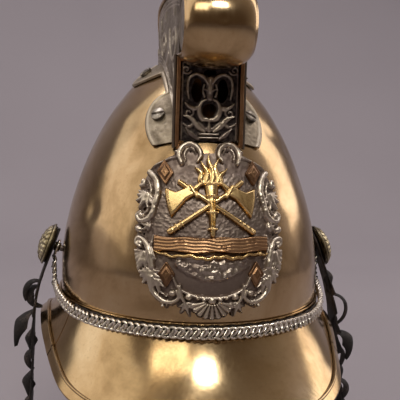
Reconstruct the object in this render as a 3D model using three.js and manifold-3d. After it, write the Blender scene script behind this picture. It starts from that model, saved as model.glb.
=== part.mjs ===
// A brass fire brigade helmet with a high comb, a pierced comb front, an applied badge plate, a curb chin chain
// and leather chin straps. Millimetres, +Z up, the wearer looks along -Y.
// The origin is the centre of the head opening, level with the lowest point of the brim.
import * as THREE from "three";
import { mergeVertices } from "three/addons/utils/BufferGeometryUtils.js";
import Module from "manifold-3d";

const wasm = await Module();
wasm.setup();

// ---------------------------------------------------------------- driving dimensions
const SHEET = 1.2; // brass sheet of the shell, comb and brim
const GAP = 0.4; // clearance between neighbouring pieces
const HOLE_PLAY = 0.4; // radial play of a screw in its hole

const SKULL = { halfWidth: 93, halfLength: 113, widestZ: 84, height: 145, roundness: 1.5 };
const SEAM = { z: 52, collar: 8 }; // where the brim leaves the skull, and the collar above that line

// How the brim runs round the skull from the front (0 degrees) to the back (180 degrees):
// how far its edge stands out from the skull, and how far it lies below the seam.
const BRIM = [
  { turn: 0, reach: 39, drop: 50 },
  { turn: 22, reach: 38, drop: 49 },
  { turn: 45, reach: 29.5, drop: 42 },
  { turn: 66, reach: 16.5, drop: 29 },
  { turn: 90, reach: 13.5, drop: 13 },
  { turn: 112, reach: 18, drop: 18 },
  { turn: 135, reach: 29, drop: 33 },
  { turn: 158, reach: 44, drop: 47 },
  { turn: 180, reach: 52, drop: 52 },
];
const PEAK_ROWS = 3; // the peak ends at this row of the brim, and the neck guard begins
const BINDING = { width: 7.5, wall: 0.8, lip: 1.1 };

const COMB = {
  frontHalfWidth: 20.6,
  halfWidth: 24,
  rearHalfWidth: 11,
  overBadge: 6.63, // from the badge's top up to the comb's foremost root
  frontAhead: 4.032, // from that root forward to the comb's front
  noseAhead: 16, // from the comb's front forward to the centre of its nose
  rearTurn: 160,
  noseRadius: 18,
  noseZ: 245,
  rollOverhang: 2,
  rollCrown: 10,
  rearCrown: 5,
  // the wings' top edge behind the nose: y and z
  top: [[-64, 268], [-20, 267], [30, 255], [68, 228], [95, 190], [110, 150], [114, 116]],
};
const POST = { outside: 22.9, depth: 3.6, overBadge: 2.5 }; // the moulding at each wing's front edge
const FLANGE = { width: 3, sheet: 1, lobe: 17, lobeSpread: 10.5, lobeTurns: [53, 84, 124] };
const GRILLE = { thickness: 1.2, clear: 0.2, topZ: 226, recess: 2 };

const SCREW = { shank: 2, head: 4.6, headHeight: 2.6, length: 7, slot: 1, nut: 4.4, nutHeight: 2.6 };
const VENT = { radius: 5, turns: [78, 92, 106] }; // holes in the crown under the comb

const BADGE = { overCollar: 2.5, halfWidth: 46, halfHeight: 51.5, squareness: 2.5, plate: 1.6 };
// The pieces applied to the plate: heights are measured up from its centre.
const RELIEF = { step: 0.4, height: 3 };
const BOSS = { x: 27, upper: 36.5, lower: -24, halfWidth: 5.5, halfHeight: 8.5 };
const LOG = { halfLength: 36, low: -12, high: -1 };
const STUD = { x: 30, up: 7, radius: 1.8, length: 7 };

const SIDE = { y: 4, z: 87, tilt: 20, bolt: 2.2, collar: 3.4, collarLength: 5.1 }; // the chain and strap bosses
const ROSETTE = { radius: 15.5, height: 8, plateRadius: 14, plate: 0.8 };
const RING = { radius: 5.3, wire: 0.9, along: 3.5, drop: 0.5 };
const CHAIN = { z: 54.8, width: 7.5, thickness: 3.2, offset: 5.3, sideOffset: 3.9, rise: 8 };
const BACKING = { width: 9, thickness: 1, rise: 1.8 };

const STRAP = { thickness: 1.8, halfWidth: 10, above: 13, length: 170, plainEnd: 46, pitch: 15, tooth: 5 };
const BUCKLE = { halfWidth: 15, height: 22, bar: 2.4 };
const TONGUE = { width: 3, wall: 1.2 };
const KEEPER = { height: 8, wall: 1.4, up: 20 };

const LINER = { inset: 6.5, thickness: 1.8, lowZ: 44, highZ: 76, crownZ: 166, hole: 18, tongues: 8 };
const RIVET = { radius: 1.8, head: 3.6, headHeight: 1.2, z: 56, turns: [45, 135, 225, 315] };

// ---------------------------------------------------------------- small helpers
const v3 = (x, y, z) => new THREE.Vector3(x, y, z);
const rad = THREE.MathUtils.degToRad;
const mix = THREE.MathUtils.lerp;
const smooth = THREE.MathUtils.smoothstep;
const Z = v3(0, 0, 1);

// A closed geometry from points and the faces between them. It drops faces that have no area and turns
// the whole surface round if its faces point inwards.
function closedGeometry(points, faces) {
  const near = (a, b) => points[a].distanceToSquared(points[b]) < 1e-8;
  const kept = faces.filter(([a, b, c]) => !near(a, b) && !near(b, c) && !near(c, a));
  let volume = 0;
  for (const [a, b, c] of kept) volume += points[a].dot(v3().crossVectors(points[b], points[c]));
  const index = kept.flatMap(([a, b, c]) => (volume > 0 ? [a, b, c] : [a, c, b]));
  const geometry = new THREE.BufferGeometry().setFromPoints(points);
  return geometry.setIndex(index);
}

// A sheet of metal or leather: place(u, v, offset) gives the points of its two faces, at the offsets inner and outer.
// With round, u comes back to its start.
function sheet(place, uSteps, vSteps, inner, outer, round = false) {
  const points = [];
  const columns = round ? uSteps : uSteps + 1;
  for (const offset of [outer, inner])
    for (let i = 0; i < columns; i++)
      for (let j = 0; j <= vSteps; j++) points.push(place(i / uSteps, j / vSteps, offset));
  const at = (layer, i, j) => (layer * columns + (i % columns)) * (vSteps + 1) + j;
  const faces = [];
  const quad = (a, b, c, d) => faces.push([a, b, c], [a, c, d]);
  for (let i = 0; i < uSteps; i++) {
    for (let j = 0; j < vSteps; j++) {
      quad(at(0, i, j), at(0, i + 1, j), at(0, i + 1, j + 1), at(0, i, j + 1));
      quad(at(1, i, j), at(1, i, j + 1), at(1, i + 1, j + 1), at(1, i + 1, j));
    }
    quad(at(1, i, 0), at(1, i + 1, 0), at(0, i + 1, 0), at(0, i, 0));
    quad(at(0, i, vSteps), at(0, i + 1, vSteps), at(1, i + 1, vSteps), at(1, i, vSteps));
  }
  if (!round)
    for (let j = 0; j < vSteps; j++) {
      quad(at(0, 0, j), at(0, 0, j + 1), at(1, 0, j + 1), at(1, 0, j));
      quad(at(1, uSteps, j), at(1, uSteps, j + 1), at(0, uSteps, j + 1), at(0, uSteps, j));
    }
  return closedGeometry(points, faces);
}

// A flat outline carried along frames, each with an origin and the two directions that the outline lies in.
function sweep(outline, frames) {
  const points = frames.flatMap(({ origin, across, up }) =>
    outline.map(([s, t]) => origin.clone().addScaledVector(across, s).addScaledVector(up, t)));
  const n = outline.length;
  const faces = [];
  for (let i = 0; i < frames.length - 1; i++)
    for (let j = 0; j < n; j++) {
      const k = (j + 1) % n;
      faces.push([i * n + j, i * n + k, (i + 1) * n + k], [i * n + j, (i + 1) * n + k, (i + 1) * n + j]);
    }
  const cap = THREE.ShapeUtils.triangulateShape(outline.map(([s, t]) => new THREE.Vector2(s, t)), []);
  const turned = THREE.ShapeUtils.area(outline.map(([s, t]) => new THREE.Vector2(s, t))) < 0;
  const last = (frames.length - 1) * n;
  for (const [a, b, c] of cap) {
    const [p, q] = turned ? [b, c] : [c, b];
    faces.push([a, p, q], [last + a, last + q, last + p]);
  }
  return closedGeometry(points, faces);
}

const rectangle = (width, height) => [
  [-width / 2, -height / 2],
  [width / 2, -height / 2],
  [width / 2, height / 2],
  [-width / 2, height / 2],
];

function toSolid(geometry) {
  const bare = geometry.clone();
  bare.deleteAttribute("normal");
  bare.deleteAttribute("uv");
  const merged = mergeVertices(bare, 1e-4);
  const vertProperties = new Float32Array(merged.attributes.position.array);
  const triVerts = new Uint32Array(merged.index.array);
  return new wasm.Manifold(new wasm.Mesh({ numProp: 3, vertProperties, triVerts }));
}

function toGeometry(solid) {
  const mesh = solid.getMesh();
  const geometry = new THREE.BufferGeometry();
  geometry.setAttribute("position", new THREE.BufferAttribute(mesh.vertProperties, mesh.numProp));
  return geometry.setIndex(new THREE.BufferAttribute(mesh.triVerts, 1));
}

const join = (...pieces) => toGeometry(pieces.map(toSolid).reduce((a, b) => a.add(b)));
const cut = (piece, tools) => toGeometry(tools.map(toSolid).reduce((a, b) => a.subtract(b), toSolid(piece)));

// Turns a geometry made round its own Z axis so that Z lies along direction, and moves it to origin.
function stand(geometry, origin, direction) {
  const turn = new THREE.Quaternion().setFromUnitVectors(Z, direction.clone().normalize());
  return geometry.clone().applyQuaternion(turn).translate(origin.x, origin.y, origin.z);
}

// A round bar along Z from low to high.
function bar(radius, low, high, sides = 12) {
  const geometry = new THREE.CylinderGeometry(radius, radius, high - low, sides);
  return geometry.rotateX(Math.PI / 2).translate(0, 0, (low + high) / 2);
}

// A turned piece: its profile holds radius and height along Z.
function turned(profile, sides = 16) {
  return new THREE.LatheGeometry(profile.map(([r, z]) => new THREE.Vector2(r, z)), sides).rotateX(Math.PI / 2);
}

const group = new THREE.Group();
const BRASS = { color: 0xb08d57, roughness: 0.25, metalness: 1 };
const DARK_BRASS = { color: 0x6e6258, roughness: 0.4, metalness: 1 };
const GILT = { color: 0xd0a050, roughness: 0.22, metalness: 1 };
const STEEL = { color: 0x9a948a, roughness: 0.35, metalness: 1 };
const LEATHER = { color: 0x241f1d, roughness: 0.75, metalness: 0 };
const LINER_LEATHER = { color: 0x6b4a30, roughness: 0.7, metalness: 0 };

function add(name, geometry, finish) {
  const mesh = new THREE.Mesh(geometry, new THREE.MeshStandardMaterial(finish));
  mesh.name = name;
  group.add(mesh);
}

// ---------------------------------------------------------------- the skull's surface
// Below zero inside the skull, zero on its outer face.
function skullField(p) {
  const h = Math.max(0, (p.z - SKULL.widestZ) / SKULL.height);
  return (p.x / SKULL.halfWidth) ** 2 + (p.y / SKULL.halfLength) ** 2 + h ** SKULL.roundness - 1;
}

function skullNormal(p) {
  const h = Math.max(0, (p.z - SKULL.widestZ) / SKULL.height);
  const rise = (SKULL.roundness * h ** (SKULL.roundness - 1)) / SKULL.height;
  return v3((2 * p.x) / SKULL.halfWidth ** 2, (2 * p.y) / SKULL.halfLength ** 2, rise).normalize();
}

const lift = (p, offset) => p.clone().addScaledVector(skullNormal(p), offset);

// The point where a line from outside the skull first meets it.
function meetSkull(from, direction, reach) {
  let near = 0;
  let far = reach;
  for (let i = 0; i < 40; i++) {
    const mid = (near + far) / 2;
    if (skullField(from.clone().addScaledVector(direction, mid)) > 0) near = mid;
    else far = mid;
  }
  return from.clone().addScaledVector(direction, far);
}

// turn runs round the skull from the front over the +X side,
// and rise from its widest level (0) to the crown (90 degrees).
function skullPoint(turn, rise) {
  const flat = Math.cos(rise);
  const z = SKULL.widestZ + SKULL.height * Math.sin(rise) ** (2 / SKULL.roundness);
  return v3(SKULL.halfWidth * flat * Math.sin(turn), -SKULL.halfLength * flat * Math.cos(turn), z);
}

// A point on the front of the skull, straight behind x and z.
const onFront = (x, z) => meetSkull(v3(x, -2 * SKULL.halfLength, z), v3(0, 1, 0), 2 * SKULL.halfLength);

// The point beside the skull's middle line: over runs from the front (0)
// over the crown (90) to the back (180 degrees).
function besideComb(over, x) {
  const middle = skullPoint(0, Math.min(rad(over), rad(180 - over)));
  if (over > 90) middle.y = -middle.y;
  const normal = skullNormal(middle);
  return meetSkull(middle.clone().addScaledVector(normal, 2).setX(x), normal.negate(), 80);
}

// ---------------------------------------------------------------- what stands on what, up the front
// The badge stands over the brim's collar, and the comb's front stands over the badge.
const badgeCentreZ = SEAM.z + SEAM.collar + BADGE.overCollar + BADGE.halfHeight;
const badgeTopZ = badgeCentreZ + BADGE.halfHeight;
const rootHeight = (badgeTopZ + COMB.overBadge - SKULL.widestZ) / SKULL.height;
const frontTurn = THREE.MathUtils.radToDeg(Math.asin(rootHeight ** (SKULL.roundness / 2)));
const frontY = skullPoint(0, rad(frontTurn)).y - COMB.frontAhead;
const noseY = frontY - COMB.noseAhead;

// ---------------------------------------------------------------- the comb's outline
const combNose = v3(0, noseY, COMB.noseZ);
const combRearY = COMB.top.at(-1)[0];
const combHalfWidth = (y) => (y < 0
  ? mix(COMB.frontHalfWidth, COMB.halfWidth, smooth(y, frontY, 0))
  : mix(COMB.halfWidth, COMB.rearHalfWidth, smooth(y, 0, combRearY)));
const combTop = new THREE.CatmullRomCurve3([
  v3(0, noseY, COMB.noseZ + COMB.noseRadius),
  ...COMB.top.map(([y, z]) => v3(0, y, z)),
]);

// ---------------------------------------------------------------- holes through the skull
const combScrews = [-1, 1].flatMap((side) =>
  FLANGE.lobeTurns.map((over, i) => {
    const root = combHalfWidth(besideComb(over, 0).y);
    const seat = besideComb(over, side * (root + (FLANGE.width + FLANGE.lobe * (root / COMB.halfWidth)) / 2));
    const label = (side < 0 ? "left_" : "right_") + ["front", "middle", "rear"][i];
    return { label, seat, axis: skullNormal(seat) };
  }));
const badgeStuds = [-1, 1].map((side) => {
  const seat = onFront(side * STUD.x, badgeCentreZ + STUD.up);
  return { label: side < 0 ? "left" : "right", seat, axis: skullNormal(seat) };
});
const sides = [-1, 1].map((side) => ({
  label: side < 0 ? "left" : "right",
  side,
  seat: v3(side * SKULL.halfWidth, SIDE.y, SIDE.z),
  axis: v3(side * Math.cos(rad(SIDE.tilt)), 0, Math.sin(rad(SIDE.tilt))),
}));
const rivets = RIVET.turns.map((turn) => {
  const seat = skullPoint(rad(turn), 0).setZ(RIVET.z);
  const label = (turn < 90 || turn > 270 ? "front_" : "rear_") + (turn < 180 ? "right" : "left");
  return { label, seat, axis: skullNormal(seat) };
});
const drill = ({ seat, axis }, radius, low, high) => stand(bar(radius + HOLE_PLAY, low, high, 8), seat, axis);
const ventSeats = VENT.turns.map((over) => besideComb(over, 0));

// ---------------------------------------------------------------- skull
const SKULL_TURNS = 36;
const SKULL_RISES = 10;
function skullPlace(u, v, offset) {
  const row = Math.round(v * SKULL_RISES);
  const p = skullPoint(2 * Math.PI * u, ((row - 1) / (SKULL_RISES - 1)) * (Math.PI / 2) * (row > 0));
  if (row === 0) p.z = SEAM.z;
  if (row === SKULL_RISES) p.set(0, 0, p.z);
  return lift(p, offset);
}
add("skull", cut(sheet(skullPlace, SKULL_TURNS, SKULL_RISES, -SHEET, 0, true), [
  ...combScrews.map((s) => drill(s, SCREW.shank, -8, 4)),
  ...badgeStuds.map((s) => drill(s, STUD.radius, -8, 4)),
  ...sides.map((s) => drill(s, SIDE.bolt, -8, 4)),
  ...rivets.map((s) => drill(s, RIVET.radius, -8, 4)),
  ...ventSeats.map((seat) => stand(bar(VENT.radius, -8, 4, 8), seat, skullNormal(seat))),
]), BRASS);

// ---------------------------------------------------------------- peak, neck guard and their bindings
// The brim's rows all the way round, as points of turn, reach and drop.
const brimRows = [...BRIM, ...BRIM.slice(1, -1).reverse().map((row) => ({ ...row, turn: 360 - row.turn }))];
const brimCurve = (() => {
  const before = BRIM.slice(1, -1).reverse().map((row) => v3(-row.turn, row.reach, row.drop));
  const on = brimRows.map((row) => v3(row.turn, row.reach, row.drop));
  const after = BRIM.map((row) => v3(360 + row.turn, row.reach, row.drop));
  const rows = [...before, ...on, ...after];
  const curve = new THREE.CatmullRomCurve3(rows);
  // row 0 is the front, and brimRows.length rows bring it back there
  return (row) => curve.getPoint((row + before.length) / (rows.length - 1));
})();

// The brim's middle surface: v runs down the collar to COLLAR_SHARE, and from there out to the edge.
const COLLAR_SHARE = 1 / 6;
function brimMiddle(row, v) {
  const { x: turn, y: reach, z: drop } = brimCurve(row);
  const s = Math.sin(rad(turn));
  const c = -Math.cos(rad(turn));
  const stand = GAP + SHEET / 2;
  const ring = (out, z) => v3((SKULL.halfWidth + out) * s, (SKULL.halfLength + out) * c, z);
  if (v < COLLAR_SHARE) return ring(stand, SEAM.z + SEAM.collar * (1 - v / COLLAR_SHARE));
  const flare = new THREE.QuadraticBezierCurve3(
    ring(stand, SEAM.z),
    ring(stand + 0.3 * reach, SEAM.z - 0.5 * drop),
    ring(reach, SEAM.z - drop),
  );
  return flare.getPoint((v - COLLAR_SHARE) / (1 - COLLAR_SHARE));
}

function brimNormal(row, v) {
  const e = 0.01;
  const along = brimMiddle(row + e, v).sub(brimMiddle(row - e, v));
  const w = Math.max(v, e);
  const down = brimMiddle(row, Math.min(1, w + e)).sub(brimMiddle(row, w - e));
  return v3().crossVectors(down, along).normalize();
}

const brimPlace = (start, end) => (u, v, offset) => {
  const row = mix(start, end, u);
  return brimMiddle(row, v).addScaledVector(brimNormal(row, v), offset);
};

// A folded strip round the brim's edge.
function bindingOn(start, end, steps) {
  const inside = SHEET / 2 + GAP;
  const outside = inside + BINDING.wall;
  const outline = [
    [-BINDING.lip, -outside], [BINDING.width, -outside], [BINDING.width, -inside], [-GAP, -inside],
    [-GAP, inside], [BINDING.width, inside], [BINDING.width, outside], [-BINDING.lip, outside],
  ];
  const frames = [];
  for (let i = 0; i <= steps; i++) {
    const row = mix(start, end, i / steps);
    const edge = brimMiddle(row, 1);
    const inwards = brimMiddle(row, 1 - COLLAR_SHARE).sub(edge).normalize();
    frames.push({ origin: edge, across: inwards, up: brimNormal(row, 1) });
  }
  return sweep(outline, frames);
}

const PEAK_STEPS = 18;
const GUARD_STEPS = 30;
const SEAM_PLAY = 0.012; // half the gap between peak and neck guard, in brim rows
const peakRows = [-PEAK_ROWS, PEAK_ROWS].map((row) => row - Math.sign(row) * SEAM_PLAY);
const guardRows = [PEAK_ROWS + SEAM_PLAY, brimRows.length - PEAK_ROWS - SEAM_PLAY];
const rivetHoles = rivets.map((r) => drill(r, RIVET.radius, -8, 8));
add("peak", cut(sheet(brimPlace(...peakRows), PEAK_STEPS, 6, -SHEET / 2, SHEET / 2), rivetHoles), BRASS);
add("neck_guard", cut(sheet(brimPlace(...guardRows), GUARD_STEPS, 6, -SHEET / 2, SHEET / 2), rivetHoles), BRASS);
add("peak_binding", bindingOn(...peakRows, PEAK_STEPS), BRASS);
add("neck_guard_binding", bindingOn(...guardRows, GUARD_STEPS), BRASS);

// ---------------------------------------------------------------- comb
const overAt = (u) => mix(frontTurn, COMB.rearTurn, u);
const combRoot = (u) => besideComb(overAt(u), combHalfWidth(besideComb(overAt(u), 0).y));

// How far along the top edge the wing's plate starts, so that its front edge stands behind the posts.
function startOfPlate() {
  let [low, high] = [0, 0.5];
  for (let i = 0; i < 30; i++) {
    const mid = (low + high) / 2;
    if (combTop.getPoint(mid).y < frontY + GAP) low = mid;
    else high = mid;
  }
  return high;
}
const plateStart = startOfPlate();

// A wing's plate, from its root on the skull to the top edge under the roll.
const wingPlace = (side) => (u, v, offset) => {
  const root = lift(combRoot(u), GAP + FLANGE.sheet / 3);
  const top = combTop.getPoint(mix(plateStart, 1, u)).sub(v3(0, 0, GAP));
  const y = mix(root.y, top.y, v);
  return v3(side * (combHalfWidth(y) + offset), y, mix(root.z, top.z, v));
};

// The lobed flange that lies on the skull along a wing's root.
const flangePlace = (side) => (u, v, offset) => {
  const over = overAt(u);
  const lobe = FLANGE.lobeTurns.reduce(
    (most, at) => Math.max(most, Math.sqrt(Math.max(0, 1 - ((over - at) / FLANGE.lobeSpread) ** 2))), 0);
  const root = combHalfWidth(besideComb(over, 0).y);
  const narrower = root / COMB.halfWidth;
  const x = mix(root - SHEET, root + FLANGE.width + FLANGE.lobe * lobe * narrower, v);
  return lift(besideComb(over, x), GAP + offset).multiply(v3(side, 1, 1));
};

const postTopZ = COMB.noseZ - COMB.noseRadius - GAP;
const postBottomZ = badgeTopZ + POST.overBadge;
function post(side) {
  const width = POST.outside - (COMB.frontHalfWidth - SHEET);
  const geometry = new THREE.BoxGeometry(width, POST.depth, postTopZ - postBottomZ);
  const y = frontY + GAP + POST.depth / 2;
  return geometry.translate(side * (POST.outside - width / 2), y, (postTopZ + postBottomZ) / 2);
}

const WING_STEPS = 26;
for (const side of [-1, 1]) {
  const noseDisc = stand(
    bar(COMB.noseRadius - GAP, COMB.frontHalfWidth - SHEET, COMB.frontHalfWidth, 28), combNose, v3(side, 0, 0));
  const neck = new THREE.BoxGeometry(SHEET, frontY - noseY + 2, 2 * (COMB.noseRadius - GAP));
  neck.translate(side * (COMB.frontHalfWidth - SHEET / 2), (frontY + noseY) / 2 + 1, COMB.noseZ);
  const wing = join(
    sheet(wingPlace(side), WING_STEPS, 2, -SHEET, 0),
    sheet(flangePlace(side), WING_STEPS, 2, 0, FLANGE.sheet),
    noseDisc,
    neck,
    post(side),
  );
  const holes = combScrews.filter(({ seat }) => seat.x * side > 0).map((s) => drill(s, SCREW.shank, -8, 8));
  add(side < 0 ? "comb_wing_left" : "comb_wing_right", cut(wing, holes), BRASS);
}

// The roll's edge line: round the nose from below, and then along the wings' top edge.
const ROOF_SHARE = 1 / 24;
const NOSE_SHARE = 9 / 24;
function rollLine(u) {
  if (u >= NOSE_SHARE) return combTop.getPoint((u - NOSE_SHARE) / (1 - NOSE_SHARE));
  if (u < ROOF_SHARE) return v3(0, mix(frontY, noseY, u / ROOF_SHARE), COMB.noseZ - COMB.noseRadius);
  const angle = Math.PI * ((u - ROOF_SHARE) / (NOSE_SHARE - ROOF_SHARE));
  return v3(0, -Math.sin(angle) * COMB.noseRadius, -Math.cos(angle) * COMB.noseRadius).add(combNose);
}
function rollPlace(u, v, offset) {
  const e = 1e-3;
  const along = rollLine(Math.min(1, u + e)).sub(rollLine(Math.max(0, u - e)));
  const outwards = v3(0, -along.z, along.y).normalize();
  const line = rollLine(u);
  const across = Math.PI * (v - 0.5);
  const crown = mix(COMB.rollCrown, COMB.rearCrown, smooth(line.y, 0, combRearY));
  const halfWidth = combHalfWidth(line.y) + COMB.rollOverhang;
  line.x = (halfWidth + offset) * Math.sin(across);
  return line.addScaledVector(outwards, (crown + offset) * Math.cos(across));
}
add("comb_roll", sheet(rollPlace, 24, 8, -SHEET, 0), BRASS);

// The pierced front between the wings, with its air openings.
function ellipseHole(x, z, rx, rz) {
  const path = new THREE.Path();
  path.absellipse(x, z, rx, rz, 0, 2 * Math.PI, true);
  return path;
}
const grilleHalf = COMB.frontHalfWidth - SHEET - GAP;
const grilleFront = frontY + GAP + GRILLE.recess;
// it stands on the skull, which is highest under the back of its foot
const grilleFoot = 1 - ((grilleFront + GRILLE.thickness) / SKULL.halfLength) ** 2;
const grilleBottomZ = SKULL.widestZ + SKULL.height * grilleFoot ** (1 / SKULL.roundness) + GRILLE.clear;
const grilleShape = new THREE.Shape([
  new THREE.Vector2(-grilleHalf, grilleBottomZ), new THREE.Vector2(grilleHalf, grilleBottomZ),
  new THREE.Vector2(grilleHalf, GRILLE.topZ), new THREE.Vector2(-grilleHalf, GRILLE.topZ),
]);
grilleShape.holes.push(
  ellipseHole(-8.4, 204, 3.2, 7.5),
  ellipseHole(8.4, 204, 3.2, 7.5),
  ellipseHole(0, 191.5, 4, 4.6),
  ellipseHole(0, 214.5, 4, 2.4),
);
const grilleSheet = { depth: GRILLE.thickness, bevelEnabled: false, curveSegments: 5 };
const grille = new THREE.ExtrudeGeometry(grilleShape, grilleSheet);
add("comb_grille", grille.rotateX(Math.PI / 2).translate(0, grilleFront + GRILLE.thickness, 0), DARK_BRASS);

// ---------------------------------------------------------------- screws, studs and nuts
function slottedScrew({ seat, axis }, surface) {
  const head = turned([
    [0, surface + SCREW.headHeight], [SCREW.head * 0.6, surface + SCREW.headHeight * 0.8],
    [SCREW.head, surface], [SCREW.shank, surface], [SCREW.shank, surface - SCREW.length], [0, surface - SCREW.length],
  ].reverse(), 14);
  const slot = new THREE.BoxGeometry(SCREW.slot, 3 * SCREW.head, 2).translate(0, 0, surface + SCREW.headHeight);
  return stand(cut(head, [slot]), seat, axis);
}
function nut({ seat, axis }, hole, size, height) {
  const low = -SHEET - 1 - height;
  return stand(cut(bar(size, low, -SHEET - 1, 6), [bar(hole + GAP, low - 1, 2, 10)]), seat, axis);
}
for (const screw of combScrews) {
  add("comb_screw_" + screw.label, slottedScrew(screw, GAP + FLANGE.sheet + GAP), STEEL);
  add("comb_nut_" + screw.label, nut(screw, SCREW.shank, SCREW.nut, SCREW.nutHeight), BRASS);
}
for (const stud of badgeStuds) {
  add("badge_stud_" + stud.label, stand(bar(STUD.radius, -STUD.length, GAP / 2), stud.seat, stud.axis), BRASS);
  add("badge_nut_" + stud.label, nut(stud, STUD.radius, SCREW.nut, SCREW.nutHeight), BRASS);
}

// ---------------------------------------------------------------- badge
const plateBase = GAP * 1.5;
const plateFace = plateBase + BADGE.plate;
function platePlace(u, v, offset) {
  const angle = 2 * Math.PI * u;
  const s = Math.sin(angle);
  const c = Math.cos(angle);
  const power = 2 / BADGE.squareness;
  const x = BADGE.halfWidth * Math.sign(s) * Math.abs(s) ** power * v;
  const z = badgeCentreZ + BADGE.halfHeight * Math.sign(c) * Math.abs(c) ** power * v;
  return lift(onFront(x, z), offset);
}
add("badge_plate", sheet(platePlace, 32, 4, plateBase, plateFace, true), DARK_BRASS);

// A raised piece on the plate: outline(u, v) gives x and the height over the badge's centre,
// and swell(u, v) how far it stands out, as a share of the full relief.
function relief(outline, swell, uSteps, vSteps, height = RELIEF.height) {
  const place = (u, v, offset) => {
    const [x, z] = outline(u, v);
    return lift(onFront(x, badgeCentreZ + z), plateFace + RELIEF.step + offset * mix(0.45, 1, swell(u, v)));
  };
  const geometry = sheet((u, v, offset) => (offset === 0 ? flatPlace(outline, u, v) : place(u, v, offset)),
    uSteps, vSteps, 0, height);
  return geometry;
}
function flatPlace(outline, u, v) {
  const [x, z] = outline(u, v);
  return lift(onFront(x, badgeCentreZ + z), plateFace + RELIEF.step);
}
const domed = (u, v) => Math.sin(Math.PI * v);

// A strip between two points, with a half width at each end.
const strip = (from, to, half0, half1) => (u, v) => {
  const [dx, dz] = [to[0] - from[0], to[1] - from[1]];
  const length = Math.hypot(dx, dz);
  const w = mix(half0, half1, u) * (2 * v - 1);
  return [from[0] + dx * u - (dz / length) * w, from[1] + dz * u + (dx / length) * w];
};

// Crossed fire axes behind an upright torch, standing on a log: a generic fire brigade trophy.
const EMBLEM = { footX: 25, foot: 2, topX: 17, top: 30, bladeX: 24, blade: 17, flame: 49 };
function axe(side) {
  const foot = [-side * EMBLEM.footX, EMBLEM.foot];
  const top = [side * EMBLEM.topX, EMBLEM.top];
  const haft = relief(strip(foot, top, 2, 1.6), domed, 6, 2, RELIEF.height * 0.8);
  const blade = [side * EMBLEM.bladeX, EMBLEM.blade];
  const head = relief(strip([side * 9, EMBLEM.top - 1], blade, 2.6, 6.5), domed, 3, 2, RELIEF.height * 0.9);
  return join(haft, head);
}
const torch = relief(strip([0, EMBLEM.foot - 1], [0, EMBLEM.top], 2.6, 5), domed, 4, 2, RELIEF.height * 1.2);
const flame = relief((u, v) => [9 * Math.sin(Math.PI * Math.min(1, u * 0.9 + 0.1)) * (2 * v - 1) * (1 - u * 0.55),
  mix(EMBLEM.top - 2, EMBLEM.flame, u)], domed, 4, 2, RELIEF.height * 1.1);
add("badge_emblem", join(axe(-1), axe(1), torch, flame), GILT);
const logOutline = (u, v) => [mix(-LOG.halfLength, LOG.halfLength, u), mix(LOG.low, LOG.high, v)];
add("badge_log", relief(logOutline, domed, 10, 2, 2.6), GILT);
for (const [label, side, z] of [
  ["upper_left", -1, BOSS.upper], ["upper_right", 1, BOSS.upper],
  ["lower_left", -1, BOSS.lower], ["lower_right", 1, BOSS.lower],
]) {
  const lozenge = (u, v) => {
    const half = BOSS.halfWidth * (1 - 0.8 * Math.abs(2 * u - 1));
    return [side * BOSS.x + half * (2 * v - 1), z + BOSS.halfHeight * (2 * u - 1)];
  };
  add("badge_boss_" + label, relief(lozenge, domed, 4, 2, 2), GILT);
}

// ---------------------------------------------------------------- side bosses: bolt, collar, plate and rosette
const strapInner = GAP + SIDE.collarLength + GAP;
const strapOuter = strapInner + STRAP.thickness;
const rosettePlate = [strapOuter + GAP, strapOuter + GAP + ROSETTE.plate];
const rosetteBase = rosettePlate[1] + GAP;
for (const at of sides) {
  const boltEnd = rosetteBase + ROSETTE.height / 2;
  const dome = turned([
    [0, rosetteBase], [ROSETTE.radius * 0.92, rosetteBase], [ROSETTE.radius, rosetteBase + 0.8],
    [ROSETTE.radius * 0.93, rosetteBase + 2.4], [ROSETTE.radius * 0.72, rosetteBase + 5.2],
    [ROSETTE.radius * 0.4, rosetteBase + 7.2], [0, rosetteBase + ROSETTE.height],
  ], 24);
  const socket = bar(SIDE.bolt + HOLE_PLAY, rosetteBase - 1, boltEnd + GAP, 12);
  add("rosette_" + at.label, stand(cut(dome, [socket]), at.seat, at.axis), BRASS);
  const washer = (radius, low, high, sides) =>
    stand(cut(bar(radius, low, high, sides), [bar(SIDE.bolt + HOLE_PLAY, low - 1, high + 1)]), at.seat, at.axis);
  add("rosette_plate_" + at.label, washer(ROSETTE.plateRadius, ...rosettePlate, 24), BRASS);
  add("side_collar_" + at.label, washer(SIDE.collar, GAP + 1, GAP + SIDE.collarLength, 16), BRASS);
  add("side_bolt_" + at.label, stand(bar(SIDE.bolt, -9, boltEnd), at.seat, at.axis), STEEL);
  const sideNut = cut(bar(5.2, -8, -4.4, 6), [bar(SIDE.bolt + GAP, -9, 0)]);
  add("side_nut_" + at.label, stand(sideNut, at.seat, at.axis), BRASS);
}

// ---------------------------------------------------------------- chin chain
const ringCentre = (at) => {
  const down = v3(at.side * Math.sin(rad(SIDE.tilt)), 0, -Math.cos(rad(SIDE.tilt)));
  return at.seat.clone().addScaledVector(at.axis, RING.along).addScaledVector(down, RING.drop);
};
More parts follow.
